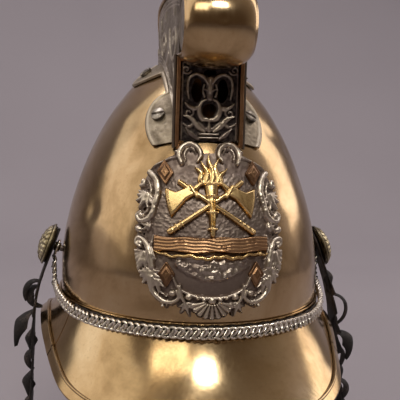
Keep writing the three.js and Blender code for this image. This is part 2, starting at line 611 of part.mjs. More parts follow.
// The chain lies on the brim's collar round the front, and climbs to a ring on each side's collar.
function chainLine(offset, sideOffset, rise = 0) {
  const points = [];
  const ringFoot = ringCentre(sides[0]).z - (RING.radius + RING.wire) * Math.cos(rad(SIDE.tilt));
  const climb = [[ringFoot - GAP - CHAIN.thickness / 2, 0, 1.7], [72, -2.5, 1.2], [65, -9, 0.6]];
  const sideX = SKULL.halfWidth + sideOffset;
  for (const side of [-1, 1]) {
    const rows = climb.map(([z, y, lean]) => v3(side * (sideX + lean), SIDE.y + y, z + rise));
    const turns = [78, 70, 60, 48, 36, 24, 12].map((turn) => {
      const out = mix(offset, sideOffset, smooth(turn, 50, 85));
      const p = skullPoint(rad(side * turn), 0);
      return lift(p, out).setZ(CHAIN.z + rise + CHAIN.rise * smooth(turn, 50, 92));
    });
    if (side < 0) points.push(...rows, ...turns, lift(skullPoint(0, 0), offset).setZ(CHAIN.z + rise));
    else points.push(...turns.reverse(), ...rows.reverse());
  }
  return new THREE.CatmullRomCurve3(points);
}
function chainFrames(line, steps) {
  const frames = [];
  for (let i = 0; i <= steps; i++) {
    const origin = line.getPointAt(i / steps);
    const tangent = line.getTangentAt(i / steps);
    const out = skullNormal(origin.clone().setZ(SEAM.z));
    const up = v3().crossVectors(out, tangent).normalize();
    frames.push({ origin, across: v3().crossVectors(tangent, up).normalize(), up });
  }
  return frames;
}
const chainCourse = chainLine(CHAIN.offset, CHAIN.sideOffset);
add("chin_chain", sweep(rectangle(CHAIN.thickness, CHAIN.width), chainFrames(chainCourse, 64)), STEEL);
const backingFront = CHAIN.offset - CHAIN.thickness / 2 - GAP - BACKING.thickness / 2;
const backingFrames = chainFrames(chainLine(backingFront, backingFront, BACKING.rise), 64).slice(13, -13);
add("chain_backing", sweep(rectangle(BACKING.thickness, BACKING.width), backingFrames), LEATHER);
for (const at of sides) {
  const ring = new THREE.TorusGeometry(RING.radius, RING.wire, 6, 14);
  add("chain_ring_" + at.label, stand(ring, ringCentre(at), at.axis), STEEL);
}

// ---------------------------------------------------------------- leather chin straps
// Each strap hangs from its bolt in the bosses' tilted plane, and turns towards upright below the brim.
const STRAP_SIDES = {
  left: { hang: 1, curls: [2, 6, 6, 4, 3, 2, 1, 0] },
  right: { hang: 6, curls: [5, 12, 13, 10, 8, 5, 2, 0] },
};
function strapLine(hang) {
  const points = [];
  let [out, down] = [0, 0];
  const steps = 34;
  for (let i = 0; i <= steps; i++) {
    const s = (STRAP.length * i) / steps;
    const angle = rad(mix(SIDE.tilt, hang, smooth(s, 14, 62)));
    const step = i > 0 ? STRAP.length / steps : 0;
    out += Math.sin(angle) * step;
    down += Math.cos(angle) * step;
    points.push([out, down, angle]);
  }
  return (s) => {
    const k = THREE.MathUtils.clamp((s / STRAP.length) * steps, 0, steps);
    const [a, b] = [points[Math.floor(k)], points[Math.ceil(k)]];
    return [0, 1, 2].map((n) => mix(a[n], b[n], k % 1));
  };
}
function strapPlace(at, { hang, curls }) {
  const line = strapLine(hang);
  const tilt = rad(SIDE.tilt);
  const total = STRAP.above + STRAP.length;
  return (u, v, offset) => {
    const s = u * total - STRAP.above;
    const [out, down, angle] = s < 0 ? [s * Math.sin(tilt), s * Math.cos(tilt), tilt] : line(s);
    const jagged = s > 22 && s < STRAP.length - STRAP.plainEnd;
    const phase = ((s - 22) / STRAP.pitch) % 1;
    const tooth = jagged ? phase : 0;
    const rounded = s < 0 ? Math.sqrt(Math.max(0, 1 - (s / STRAP.above) ** 2)) : 1;
    const end = 1 - 0.45 * smooth(s, STRAP.length - 14, STRAP.length) * (at.side > 0);
    const half = (STRAP.halfWidth * end + STRAP.tooth * tooth) * Math.max(0.35, rounded);
    const w = 2 * v - 1;
    const curled = jagged ? curls[Math.floor((s - 22) / STRAP.pitch)] * tooth : 0;
    const curl = curled * Math.abs(w) ** 3 * (w < 0 ? 1 : 0.5);
    const lay = strapInner + STRAP.thickness / 2 + offset;
    const x = SKULL.halfWidth + lay * Math.cos(angle) + (out + curl);
    const z = SIDE.z + lay * Math.sin(angle) - down;
    return v3(at.side * x, SIDE.y + half * w, z);
  };
}
const strapEnds = {};
const strapSolids = {};
for (const at of sides) {
  const place = strapPlace(at, STRAP_SIDES[at.label]);
  const half = STRAP.thickness / 2;
  const boltHole = stand(bar(SIDE.bolt + HOLE_PLAY, 0, 20), at.seat, at.axis);
  const total = STRAP.above + STRAP.length;
  const holes = at.side < 0 ? [] : [20, 34, 48, 62, 76].map((up) => {
    const p = place(1 - up / total, 0.5, 0);
    return stand(bar(1.6, -6, 6, 8), p, v3(1, 0, 0));
  });
  strapSolids[at.label] = cut(sheet(place, 46, 4, -half, half), [boltHole, ...holes]);
  strapEnds[at.label] = { foot: place(1, 0.5, 0), keeper: place(1 - KEEPER.up / total, 0.5, 0) };
}

// The left strap's end is folded round the buckle's top bar. The tongue turns on the same bar, in a slot in the fold.
const foldOuter = BUCKLE.bar / 2 + GAP + STRAP.thickness;
const buckleBar = strapEnds.left.foot.clone().sub(v3(0, 0, foldOuter - 1));
const acrossBar = (geometry) => geometry.rotateX(Math.PI / 2).translate(buckleBar.x, buckleBar.y, buckleBar.z);
function barRing(inner, outer, halfWidth) {
  return acrossBar(cut(bar(outer, -halfWidth, halfWidth, 14), [bar(inner, -halfWidth - 1, halfWidth + 1, 14)]));
}
const slot = new THREE.BoxGeometry(20, TONGUE.width + 2 * GAP, 2 * foldOuter + 4);
slot.translate(buckleBar.x, buckleBar.y, buckleBar.z - 1);
const fold = barRing(BUCKLE.bar / 2 + GAP, foldOuter, STRAP.halfWidth - 1);
add("chin_strap_left", cut(join(strapSolids.left, fold), [slot]), LEATHER);
add("chin_strap_right", strapSolids.right, LEATHER);

const { halfWidth: buckleHalf, height: buckleHeight, bar: rod } = BUCKLE;
const buckleRod = (length, x, y, z) => new THREE.BoxGeometry(rod, length, rod).translate(x, y, z);
const upright = (y) => new THREE.BoxGeometry(rod, rod, buckleHeight).translate(0, y, rod / 2 - buckleHeight / 2);
const hung = (geometry) => geometry.translate(buckleBar.x, buckleBar.y, buckleBar.z);
add("buckle_frame", join(
  acrossBar(bar(rod / 2, -buckleHalf, buckleHalf, 10)),
  hung(upright(rod / 2 - buckleHalf)),
  hung(upright(buckleHalf - rod / 2)),
  hung(buckleRod(2 * buckleHalf, 0, 0, rod - buckleHeight)),
), BRASS);
const eye = barRing(rod / 2 + GAP, rod / 2 + GAP + TONGUE.wall, TONGUE.width / 2);
const fingerX = -(rod / 2 + GAP + TONGUE.wall / 2);
const finger = new THREE.BoxGeometry(TONGUE.wall, TONGUE.width, buckleHeight);
finger.translate(fingerX, 0, -buckleHeight / 2);
add("buckle_tongue", join(eye, hung(finger)), BRASS);
const keeperPlace = (u, v, offset) => {
  const angle = 2 * Math.PI * u + Math.PI / 4;
  const [c, s] = [Math.cos(angle), Math.sin(angle)].map((t) => Math.sign(t) * Math.min(1, Math.abs(t) * Math.SQRT2));
  const p = strapEnds.left.keeper;
  const [rx, ry] = [STRAP.thickness / 2 + GAP + offset, STRAP.halfWidth + GAP + offset];
  return v3(p.x + c * rx, p.y + s * ry, p.z + KEEPER.height * (v - 0.5));
};
add("strap_keeper", sheet(keeperPlace, 8, 1, 0, KEEPER.wall, true), LEATHER);

// ---------------------------------------------------------------- liner
// A headband, and above it tongues that a wire ring gathers over the wearer's head.
const bandOut = SHEET + LINER.inset;
const ovalAt = (turn, out, z) =>
  v3((SKULL.halfWidth - out) * Math.sin(turn), -(SKULL.halfLength - out) * Math.cos(turn), z);
const bandPlace = (u, v, offset) => ovalAt(2 * Math.PI * u, bandOut - offset, mix(LINER.lowZ, LINER.highZ, v));
const bandHoles = rivets.map((r) => drill(r, RIVET.radius, -14, 0));
add("liner_band", cut(sheet(bandPlace, 32, 1, -LINER.thickness, 0, true), bandHoles), LINER_LEATHER);

const crownFoot = LINER.highZ + GAP;
function crownPlace(u, v, offset) {
  const rise = v * Math.acos(LINER.hole / (SKULL.halfWidth - bandOut));
  const z = mix(crownFoot, LINER.crownZ, Math.sin(rise) ** (2 / SKULL.roundness));
  const p = ovalAt(2 * Math.PI * u, bandOut, 0);
  const inward = 1 + offset / SKULL.halfWidth;
  return v3(p.x * Math.cos(rise) * inward, p.y * Math.cos(rise) * inward, z + offset * Math.sin(rise));
}
const tongueCuts = [];
for (let i = 0; i < LINER.tongues; i++) {
  const turn = ((i + 0.5) / LINER.tongues) * 2 * Math.PI;
  const wedge = new THREE.Shape([new THREE.Vector2(12, -2.6), new THREE.Vector2(12, 2.6),
    new THREE.Vector2(78, 1.4), new THREE.Vector2(80, 0), new THREE.Vector2(78, -1.4)]);
  const tool = new THREE.ExtrudeGeometry(wedge, { depth: LINER.crownZ, bevelEnabled: false });
  const stretch = Math.hypot(Math.sin(turn), (SKULL.halfLength / SKULL.halfWidth) * Math.cos(turn));
  tongueCuts.push(tool.scale(stretch, 1, 1).rotateZ(turn).translate(0, 0, crownFoot + 14));
}
add("liner_crown", cut(sheet(crownPlace, 24, 5, -LINER.thickness, 0, true), tongueCuts), LINER_LEATHER);
const gatherRing = new THREE.TorusGeometry(LINER.hole + 2, 1, 5, 18);
add("liner_ring", gatherRing.translate(0, 0, LINER.crownZ + 1.8), BRASS);
for (const rivet of rivets) {
  const bandInner = -(bandOut + LINER.thickness + GAP);
  const profile = [
    [0, bandInner - RIVET.headHeight],
    [RIVET.head * 0.7, bandInner - RIVET.headHeight * 0.8],
    [RIVET.head, bandInner],
    [RIVET.radius, bandInner], [RIVET.radius, GAP + SHEET], [0, GAP + SHEET],
  ];
  add("liner_rivet_" + rivet.label, stand(turned(profile, 12), rivet.seat, rivet.axis), BRASS);
}

export default group;
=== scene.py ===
# %% [markdown]
# # A brass fire brigade helmet
# The real helmet is pressed and hammered brass sheet: a deep skull, a peak and neck guard flanged onto it,
# and a tall hollow comb screwed to the crown. A cast badge, a curb chain and two leather straps hang on the front.
# This lesson builds each piece over a CAD frame that already holds its place, size and joints, so every piece here
# repeats the frame's own measures and adds what the frame leaves out: curvature, relief, wear and finish.

# %% The frame
import math

import bpy
import numpy as np
from mathutils import Matrix, Quaternion, Vector


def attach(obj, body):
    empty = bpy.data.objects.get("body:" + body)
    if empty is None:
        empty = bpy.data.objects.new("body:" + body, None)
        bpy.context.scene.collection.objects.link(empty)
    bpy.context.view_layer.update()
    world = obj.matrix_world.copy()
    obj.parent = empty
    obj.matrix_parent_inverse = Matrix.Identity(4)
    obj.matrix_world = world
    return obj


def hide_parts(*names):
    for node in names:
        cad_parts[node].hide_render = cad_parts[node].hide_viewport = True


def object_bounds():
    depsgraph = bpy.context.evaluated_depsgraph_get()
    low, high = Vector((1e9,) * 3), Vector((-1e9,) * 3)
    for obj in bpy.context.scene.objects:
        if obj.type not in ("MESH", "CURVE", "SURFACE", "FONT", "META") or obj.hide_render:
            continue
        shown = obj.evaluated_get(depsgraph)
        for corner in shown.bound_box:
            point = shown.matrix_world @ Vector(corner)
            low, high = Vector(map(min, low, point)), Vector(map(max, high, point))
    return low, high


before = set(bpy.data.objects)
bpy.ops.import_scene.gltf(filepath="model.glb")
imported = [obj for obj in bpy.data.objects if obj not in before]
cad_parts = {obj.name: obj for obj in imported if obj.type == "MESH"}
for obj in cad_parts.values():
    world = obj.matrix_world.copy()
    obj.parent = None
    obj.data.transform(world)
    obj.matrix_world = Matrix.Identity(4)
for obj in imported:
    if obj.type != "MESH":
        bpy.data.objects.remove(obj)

cad_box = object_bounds()
MM = 0.001  # the measures below are millimetres, and Blender's unit is the metre

# %% [markdown]
# ## Turning surfaces into closed metal
# Sheet metal has two faces and a cut edge, so each piece starts as a grid of points for its outer face and one for
# its inner face. Grids are quick to work out with numpy, and a grid can leave cells out, which gives holes and
# fretted outlines without any cutting. Modelling by hand would work too, but a rule keeps each piece on the frame.

# %% Grids to closed shells
def outward(points, faces):
    """Turns the faces of one closed part round, all together, if they point inwards."""
    volume = 0.0
    for size in {len(face) for face in faces}:
        block = np.array([face for face in faces if len(face) == size])
        for k in range(1, size - 1):
            a, b, c = (points[block[:, i]] for i in (0, k, k + 1))
            volume += float(np.einsum("ij,ij->", a, np.cross(b, c)))
    return faces if volume > 0 else [face[::-1] for face in faces]


def weld(points, faces, marks):
    """Makes one point of those that lie together, as at a pole, and drops the sides this closes up."""
    _, first, number = np.unique(np.round(points, 4), axis=0, return_index=True, return_inverse=True)
    number = number.reshape(-1)
    kept = []
    for face in faces:
        ring = [number[i] for i in face]
        ring = [i for k, i in enumerate(ring) if i != ring[k - 1]]
        if len(set(ring)) > 2:
            kept.append(ring)
    return points[first], kept, {key: values[first] for key, values in marks.items()}


def shell(outer, inner, keep=None, round_u=False, marks=None):
    """One closed part between two grids of points. keep says which cells stay, and round_u joins the last column
    to the first."""
    columns, rows = outer.shape[:2]
    cells = (columns if round_u else columns - 1, rows - 1)
    keep = np.ones(cells, bool) if keep is None else keep
    i, j = np.nonzero(keep)
    number = np.arange(columns * rows).reshape(columns, rows)
    after = (i + 1) % columns
    a, b, c, d = number[i, j], number[after, j], number[after, j + 1], number[i, j + 1]
    below = columns * rows
    faces = [np.stack([a, b, c, d], 1), np.stack([d, c, b, a], 1) + below]
    for (di, dj), (p, q) in {(0, -1): (a, b), (1, 0): (b, c), (0, 1): (c, d), (-1, 0): (d, a)}.items():
        near_i, near_j = i + di, j + dj
        if round_u:
            near_i = near_i % cells[0]
        inside = (near_i >= 0) & (near_i < cells[0]) & (near_j >= 0) & (near_j < cells[1])
        open_side = ~inside
        open_side[inside] = ~keep[near_i[inside], near_j[inside]]
        p, q = p[open_side], q[open_side]
        faces.append(np.stack([q, p, p + below, q + below], 1))
    points = np.concatenate([outer.reshape(-1, 3), inner.reshape(-1, 3)])
    marks = {key: np.concatenate([values.ravel(), values.ravel()]) for key, values in (marks or {}).items()}
    points, faces, marks = weld(points, np.concatenate(faces).tolist(), marks)
    return points, outward(points, faces), marks


def sweep(outline, origin, across, up, closed=False):
    """One closed part: a flat outline carried along frames, each an origin and the two directions it lies in."""
    outline = np.asarray(outline, float)
    rings = (origin[:, None] + outline[None, :, :1] * across[:, None] + outline[None, :, 1:] * up[:, None])
    count, sides = rings.shape[:2]
    number = np.arange(count * sides).reshape(count, sides)
    ahead = np.roll(number, -1, 0) if closed else number[1:]
    behind = number if closed else number[:-1]
    faces = np.stack([behind, np.roll(behind, -1, 1), np.roll(ahead, -1, 1), ahead], -1).reshape(-1, 4).tolist()
    if not closed:
        faces += [number[0, ::-1].tolist(), number[-1].tolist()]
    points = rings.reshape(-1, 3)
    return points, outward(points, faces), {}


def turned(profile, seat, axis, steps=48):
    """One closed part turned on an axis: its profile holds radius and distance along the axis, and starts and ends
    on the axis or comes back to its start."""
    profile = np.asarray(profile, float)
    spin = np.linspace(0, 2 * np.pi, steps, endpoint=False)
    first, second = sideways(axis)
    around = np.cos(spin)[:, None] * first + np.sin(spin)[:, None] * second
    rings = seat + profile[None, :, :1] * around[:, None] + profile[None, :, 1:] * axis
    number = np.arange(rings.shape[0] * rings.shape[1]).reshape(rings.shape[:2])
    ahead = np.roll(number, -1, 0)
    faces = np.stack([number[:, :-1], number[:, 1:], ahead[:, 1:], ahead[:, :-1]], -1).reshape(-1, 4).tolist()
    points, faces, _ = weld(rings.reshape(-1, 3), faces, {})
    return points, outward(points, faces), {}


def sideways(axis):
    """Two directions square to an axis and to each other."""
    axis = np.asarray(axis, float) / np.linalg.norm(axis)
    first = np.cross(axis, (0, 1, 0))
    if np.linalg.norm(first) < 0.2:
        first = np.cross(axis, (1, 0, 0))
    first /= np.linalg.norm(first)
    return first, np.cross(axis, first)


# %% Closed parts to a finished piece
def piece_of(name, parts, finish, body="shell", stands_for=(), corner=38):
    """Makes one piece of several closed parts, and puts it on its body in place of the frame's nodes."""
    parts = [parts] if isinstance(parts, tuple) else list(parts)
    starts = np.cumsum([0] + [len(points) for points, _, _ in parts])
    mesh = bpy.data.meshes.new(name)
    points = np.concatenate([points for points, _, _ in parts])
    faces = [[i + int(start) for i in face] for (_, own, _), start in zip(parts, starts) for face in own]
    mesh.from_pydata((points * MM).tolist(), [], faces)
    for key in {key for _, _, marks in parts for key in marks}:
        values = np.concatenate([marks.get(key, np.full(len(own), 0.5)) for own, _, marks in parts])
        mesh.attributes.new(key, "FLOAT", "POINT").data.foreach_set("value", values.astype(np.float32))
    mesh.shade_smooth()
    mesh.set_sharp_from_angle(angle=math.radians(corner))
    mesh.materials.append(finish)
    piece = bpy.data.objects.new(name, mesh)
    bpy.context.scene.collection.objects.link(piece)
    return settle(piece, body, stands_for)


def settle(piece, body, stands_for=()):
    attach(piece, body)
    if stands_for:
        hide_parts(*stands_for)
    print(f"{piece.name}: {len(piece.data.polygons)} faces on {body}")
    return piece


def grid(columns, rows, round_u=False):
    """Two grids of shares, 0 to 1, across the columns and up the rows."""
    u = np.linspace(0, 1, columns, endpoint=not round_u)
    return np.meshgrid(u, np.linspace(0, 1, rows), indexing="ij")


# %% Small sums
def mix(a, b, share):
    return a + (b - a) * share


def smooth(value, low, high):
    share = np.clip((value - low) / (high - low), 0, 1)
    return share * share * (3 - 2 * share)


def unit(vectors):
    return vectors / np.linalg.norm(vectors, axis=-1, keepdims=True)


def spline(points):
    """A curve through points that doesn't overshoot where they lie unevenly: spline(t) runs from 0 to 1."""
    points = np.asarray(points, float)
    padded = np.concatenate([[2 * points[0] - points[1]], points, [2 * points[-1] - points[-2]]])
    spans = np.maximum(np.sum(np.diff(padded, axis=0) ** 2, 1) ** 0.25, 1e-4)

    def at(t):
        share = np.clip(np.asarray(t, float), 0, 1) * (len(points) - 1)
        k = np.minimum(share.astype(int), len(points) - 2)
        w = (share - k)[..., None]
        p0, p1, p2, p3 = (padded[k + n] for n in range(4))
        s0, s1, s2 = (spans[k + n][..., None] for n in range(3))
        leave = ((p1 - p0) / s0 - (p2 - p0) / (s0 + s1) + (p2 - p1) / s1) * s1
        arrive = ((p2 - p1) / s1 - (p3 - p1) / (s1 + s2) + (p3 - p2) / s2) * s1
        bend = -3 * p1 + 3 * p2 - 2 * leave - arrive
        twist = 2 * p1 - 2 * p2 + leave + arrive
        return p1 + w * (leave + w * (bend + w * twist))

    return at


def ripple(points, wave_mm, seed):
    """A soft unevenness from -1 to 1: waves in seeded directions, which is how hand-worked sheet varies."""
    draw = np.random.default_rng(seed)
    total = np.zeros(points.shape[:-1])
    for _ in range(7):
        way = unit(draw.normal(size=3)) * (2 * np.pi / (wave_mm * draw.uniform(0.7, 1.6)))
        total += np.sin(points @ way + draw.uniform(0, 2 * np.pi))
    return total / 4

# %% [markdown]
# ## Finishes
# The helmet is nearly all one metal, but age has told its parts apart: handled brass stays golden brown, the comb's
# thin plates have gone silvery grey, the badge's hollows are almost black, and its high spots are rubbed bright.
# One recipe makes them all: blotches of tarnish, fine specks, wiping marks that scatter the light, and, on pieces in
# relief, a mark on each point that says how high it stands. A metal's colour is its reflection, so it keeps the
# default IOR and is never lit by a plain colour.

# %% Colours and nodes
def colour(code):
    """An sRGB hex value as the linear colour that Blender mixes with."""
    parts = [int(code[i:i + 2], 16) / 255 for i in (0, 2, 4)]
    return (*[p / 12.92 if p <= 0.04045 else ((p + 0.055) / 1.055) ** 2.4 for p in parts], 1.0)


def add_node(tree, kind, links=None, stops=None, **settings):
    """Adds a node. links holds its sockets' values, or the outputs that they are linked to."""
    node = tree.nodes.new(kind)
    for key, value in settings.items():
        setattr(node, key, value)
    for key, value in (links or {}).items():
        if isinstance(value, bpy.types.NodeSocket):
            tree.links.new(value, node.inputs[key])
        else:
            node.inputs[key].default_value = value
    for k, (position, code) in enumerate(stops or []):
        stop = node.color_ramp.elements[k] if k < 2 else node.color_ramp.elements.new(position)
        stop.position, stop.color = position, colour(code)
    return node


def new_finish(name, metallic):
    finish = bpy.data.materials.new(name)
    finish.use_nodes = True
    shader = finish.node_tree.nodes["Principled BSDF"]
    shader.inputs["Metallic"].default_value = metallic
    place = add_node(finish.node_tree, "ShaderNodeTexCoord").outputs["Object"]
    return finish, finish.node_tree, shader, place


# %% The metal recipe
def aged_metal(name, tarnish, metal, rubbed, roughness, spread=0.12, blotch_mm=38, in_relief=False, wear=1.0):
    """Old worked metal. tarnish, metal and rubbed are its darkest, usual and brightest colours, roughness its
    smoothest polish, spread how much duller it gets, and blotch_mm how wide the patches of tarnish are."""
    finish, tree, shader, place = new_finish(name, 1.0)
    blotch = add_node(tree, "ShaderNodeTexNoise", {"Vector": place, "Scale": 1000 / blotch_mm, "Detail": 7.0,
                                                   "Roughness": 0.6, "Distortion": 0.4}).outputs[0]
    # specks of dirt are 1 to 2 mm wide, and the wiping marks are 1 mm lines drawn long along the height
    speck = add_node(tree, "ShaderNodeTexNoise", {"Vector": place, "Scale": 650.0, "Detail": 3.0}).outputs[0]
    drawn = add_node(tree, "ShaderNodeMapping", {"Vector": place, "Scale": (1.0, 1.0, 0.12)}).outputs[0]
    wiping = add_node(tree, "ShaderNodeTexNoise", {"Vector": drawn, "Scale": 520.0, "Detail": 4.0}).outputs[0]
    base = add_node(tree, "ShaderNodeValToRGB", {"Fac": blotch},
                    stops=[(0.3, tarnish), (0.72, rubbed), (0.5, metal)]).outputs[0]
    dirt = add_node(tree, "ShaderNodeMapRange", {"Value": speck, "From Min": 0.58, "From Max": 0.74,
                                                 "To Max": 0.55 * wear}).outputs[0]
    base = add_node(tree, "ShaderNodeMix", {0: dirt, 6: base, 7: colour(tarnish)}, data_type="RGBA").outputs[2]
    dull = add_node(tree, "ShaderNodeMapRange", {"Value": blotch, "From Min": 0.62, "From Max": 0.34,
                                                 "To Min": roughness, "To Max": roughness + spread}).outputs[0]
    dull = add_node(tree, "ShaderNodeMath", {0: wiping, 1: 0.16 * wear, 2: dull}, operation="MULTIPLY_ADD").outputs[0]
    dull = add_node(tree, "ShaderNodeMath", {0: dull, 1: 0.08 * wear}, operation="SUBTRACT").outputs[0]
    if in_relief:
        # the relief mark darkens low points towards tarnish, as patina in hollows, and brightens high points as
        # rubbing; on the chain links the mark follows each wire's outward side, so there it paints a highlight and
        # shade
        height = add_node(tree, "ShaderNodeAttribute", attribute_name="relief").outputs["Fac"]
        uneven = add_node(tree, "ShaderNodeMath", {0: speck, 1: 0.35, 2: height}, operation="MULTIPLY_ADD").outputs[0]
        hollow = add_node(tree, "ShaderNodeMapRange", {"Value": uneven, "From Min": 0.22, "From Max": 0.62,
                                                       "To Min": 1.0, "To Max": 0.0}).outputs[0]
        high = add_node(tree, "ShaderNodeMapRange", {"Value": uneven, "From Min": 0.75, "From Max": 1.1}).outputs[0]
        base = add_node(tree, "ShaderNodeMix", {0: hollow, 6: base, 7: colour(tarnish)}, data_type="RGBA").outputs[2]
        base = add_node(tree, "ShaderNodeMix", {0: high, 6: base, 7: colour(rubbed)}, data_type="RGBA").outputs[2]
        dull = add_node(tree, "ShaderNodeMath", {0: hollow, 1: 0.25, 2: dull}, operation="MULTIPLY_ADD").outputs[0]
    height = add_node(tree, "ShaderNodeMath", {0: speck, 1: 0.5, 2: wiping}, operation="MULTIPLY_ADD").outputs[0]
    bump = add_node(tree, "ShaderNodeBump", {"Height": height, "Strength": 0.35, "Distance": 0.00012 * wear})
    tree.links.new(base, shader.inputs["Base Color"])
    tree.links.new(dull, shader.inputs["Roughness"])
    tree.links.new(bump.outputs[0], shader.inputs["Normal"])
    return finish


# sheet brass, pressed and hand polished: blurred warm reflections with duller brown patches
skull_brass = aged_metal("aged_sheet_brass", "94774F", "C6A97F", "DAC29B", 0.16, 0.06, 60, wear=0.5)
brim_brass = aged_metal("handled_sheet_brass", "92754E", "C4A77A", "DAC299", 0.15, 0.07, 50, wear=0.5)
# thin stamped brass that has lost its yellow: silvery, dirty and rather matt
plate_brass = aged_metal("grey_stamped_brass", "6A5F54", "AEA393", "D2C8B6", 0.34, 0.16, 22, True)
# its lobed feet, which polish misses: duller and browner
flange_brass = aged_metal("dull_flange_brass", "5E5446", "978B78", "BBAF9A", 0.44, 0.16, 18, True)
# the comb's front mouldings, where the zinc has gone and left copper
copper_strip = aged_metal("coppery_brass_strip", "604732", "A67D58", "D0A87C", 0.3, 0.12, 16)
# cast brass with a nearly black patina in its hollows
dark_brass = aged_metal("dark_cast_brass", "2B2525", "82766F", "C8BCA8", 0.3, 0.16, 14, True)
# the badge's casting was dipped brown, so its hollows are lighter than the comb's
brown_cast_brass = aged_metal("browned_cast_brass", "82736A", "A3968A", "CCC0AE", 0.33, 0.14, 14, True)
# cast brass that was gilded, worn through on its high spots
gilt_brass = aged_metal("worn_gilt_brass", "3F2B19", "B58849", "EFD093", 0.22, 0.16, 12, True)
# the same casting with its gilding gone, coppery brown
brown_gilt = aged_metal("browned_gilt_brass", "38281C", "84644A", "B08B66", 0.3, 0.14, 12, True)
# stamped brass bosses: pale, with dirt between the petals
boss_brass = aged_metal("pale_stamped_brass", "3A3020", "A89A76", "E6DCBC", 0.22, 0.16, 12, True)
# plated chain: white metal with brass showing through where it rubs, and on its links a painted highlight and painted
# shade
chain_white = aged_metal("worn_plated_chain_with_painted_shading", "625950", "BFB6A8", "F0E9DC", 0.24, 0.12, 6, True)
screw_brass = aged_metal("turned_screw_brass", "3F3A34", "8D857A", "D2CBBC", 0.28, 0.14, 5)
bolt_steel = aged_metal("rusted_steel", "3A2A20", "6E655E", "98908A", 0.4, 0.2, 6)
print("metals:", len(bpy.data.materials))

# %% [markdown]
# ## The skull's rule
# The skull is one surface: an oval below, which closes over the crown as the height rises. Every other piece of the
# shell seats on it, so the lesson keeps its rule as a few functions that take whole grids of points: a point at a
# turn and a rise, the way out from the surface, and the point straight behind a place on the front.

# %% Skull surface
SHEET, GAP = 1.2, 0.4
HALF_WIDTH, HALF_LENGTH = 93.0, 113.0
WIDEST_Z, HEIGHT, ROUNDNESS = 84.0, 145.0, 1.5
SEAM_Z, COLLAR = 52.0, 8.0


def skull_normal(p):
    h = np.maximum(0, (p[..., 2] - WIDEST_Z) / HEIGHT)
    rise = ROUNDNESS * h ** (ROUNDNESS - 1) / HEIGHT
    return unit(np.stack([2 * p[..., 0] / HALF_WIDTH ** 2, 2 * p[..., 1] / HALF_LENGTH ** 2, rise], -1))


def lift(p, out):
    return p + np.asarray(out)[..., None] * skull_normal(p)


def skull_point(turn, rise):
    """turn runs from the front over +X, and rise from the widest level to the crown, both in degrees."""
    turn, rise = np.broadcast_arrays(np.radians(turn), np.radians(rise))
    flat = np.cos(rise)
    z = WIDEST_Z + HEIGHT * np.sin(rise) ** (2 / ROUNDNESS)
    return np.stack([HALF_WIDTH * flat * np.sin(turn), -HALF_LENGTH * flat * np.cos(turn), z], -1)


def on_front(x, z):
    x, z = np.broadcast_arrays(np.asarray(x, float), np.asarray(z, float))
    h = np.maximum(0, (z - WIDEST_Z) / HEIGHT)
    inside = 1 - (x / HALF_WIDTH) ** 2 - h ** ROUNDNESS
    return np.stack([x, -HALF_LENGTH * np.sqrt(np.maximum(inside, 1e-6)), z], -1)


def beside_comb(over, x):
    """A point beside the middle line: over runs from the front (0) over the crown (90) to the back (180)."""
    over, x = np.broadcast_arrays(np.asarray(over, float), np.asarray(x, float))
    middle = skull_point(0, np.minimum(over, 180 - over))
    middle[..., 1] *= np.where(over > 90, -1, 1)
    way = -skull_normal(middle)
    start = middle - 2 * way
    start[..., 0] = x
    near, far = np.zeros(over.shape), np.full(over.shape, 80.0)
    for _ in range(40):
        half = (near + far) / 2
        p = start + half[..., None] * way
        h = np.maximum(0, (p[..., 2] - WIDEST_Z) / HEIGHT)
        outside = (p[..., 0] / HALF_WIDTH) ** 2 + (p[..., 1] / HALF_LENGTH) ** 2 + h ** ROUNDNESS > 1
        near, far = np.where(outside, half, near), np.where(outside, far, half)
    return start + far[..., None] * way

# %% [markdown]
# ## Skull
# The real skull was hammered and pressed from one sheet, then polished, worn and knocked about for decades. It could
# be a sculpted mesh, but its outline has to meet the brim, comb and badge, so it is a fine grid on the skull's rule.
# Long soft waves under half a millimetre deep and a few shallow dents break up its reflections as real sheet does.

# %% Skull
def dented(p, spots):
    """How far the sheet is pushed in: spots hold x, y, z, width and depth."""
    inwards = 0.22 * (1 + ripple(p, 70, 5)) + 0.07 * (1 + ripple(p, 22, 6))
    for x, y, z, width, depth in spots:
        away = np.linalg.norm(p - (x, y, z), axis=-1) / width
        inwards = inwards + depth * np.exp(-away ** 2)
    return np.maximum(inwards, 0)


def skull_dents():
    draw = np.random.default_rng(11)
    spots = [(*skull_point(draw.uniform(20, 340), draw.uniform(5, 60)), draw.uniform(6, 13), draw.uniform(0.2, 0.6))
             for _ in range(26)]
    # a run of knocks beside the comb's front, and one over the left boss
    spots += [(*beside_comb(52.0, x), 7, 0.7) for x in (47.0, 54.0, 62.0)]
    spots += [(*skull_point(-58, 22), 9, 0.9), (*skull_point(-50, 48), 8, 0.6), (*skull_point(40, 44), 10, 0.5)]
    return spots


VENT_TURNS, VENT_RADIUS = (78.0, 92.0, 106.0), 5.0


def skull_shell(columns=288, rows=104):
    u, v = grid(columns, rows, round_u=True)
    wall = 6 / rows
    rise = np.maximum(0, (v - wall) / (1 - wall)) * 90
    outer = skull_point(360 * u, rise)
    outer[..., 2] = np.where(v < wall, mix(SEAM_Z, WIDEST_Z, v / wall), outer[..., 2])
    normal = skull_normal(outer)
    normal[:, -1] = (0, 0, 1)
    away = np.min([np.linalg.norm(outer - beside_comb(turn, 0.0), axis=-1) for turn in VENT_TURNS], axis=0)
    push = dented(outer, skull_dents())[..., None]
    return shell(outer - push * normal, outer - (push + SHEET) * normal, away[:, :-1] > VENT_RADIUS, round_u=True)


skull = piece_of("skull_shell", skull_shell(), skull_brass, stands_for=["skull"], corner=60)

# %% [markdown]
# ## Peak and neck guard
# Both are flanged from sheet: a short collar hugs the skull, and below the seam the metal flares out to the edge.
# How far it flares and drops changes round the helmet, so the rule is a table of turn, reach and drop with a spline
# through it. The peak of an old helmet is never true, so it also gets waves and a few bends near its edge.

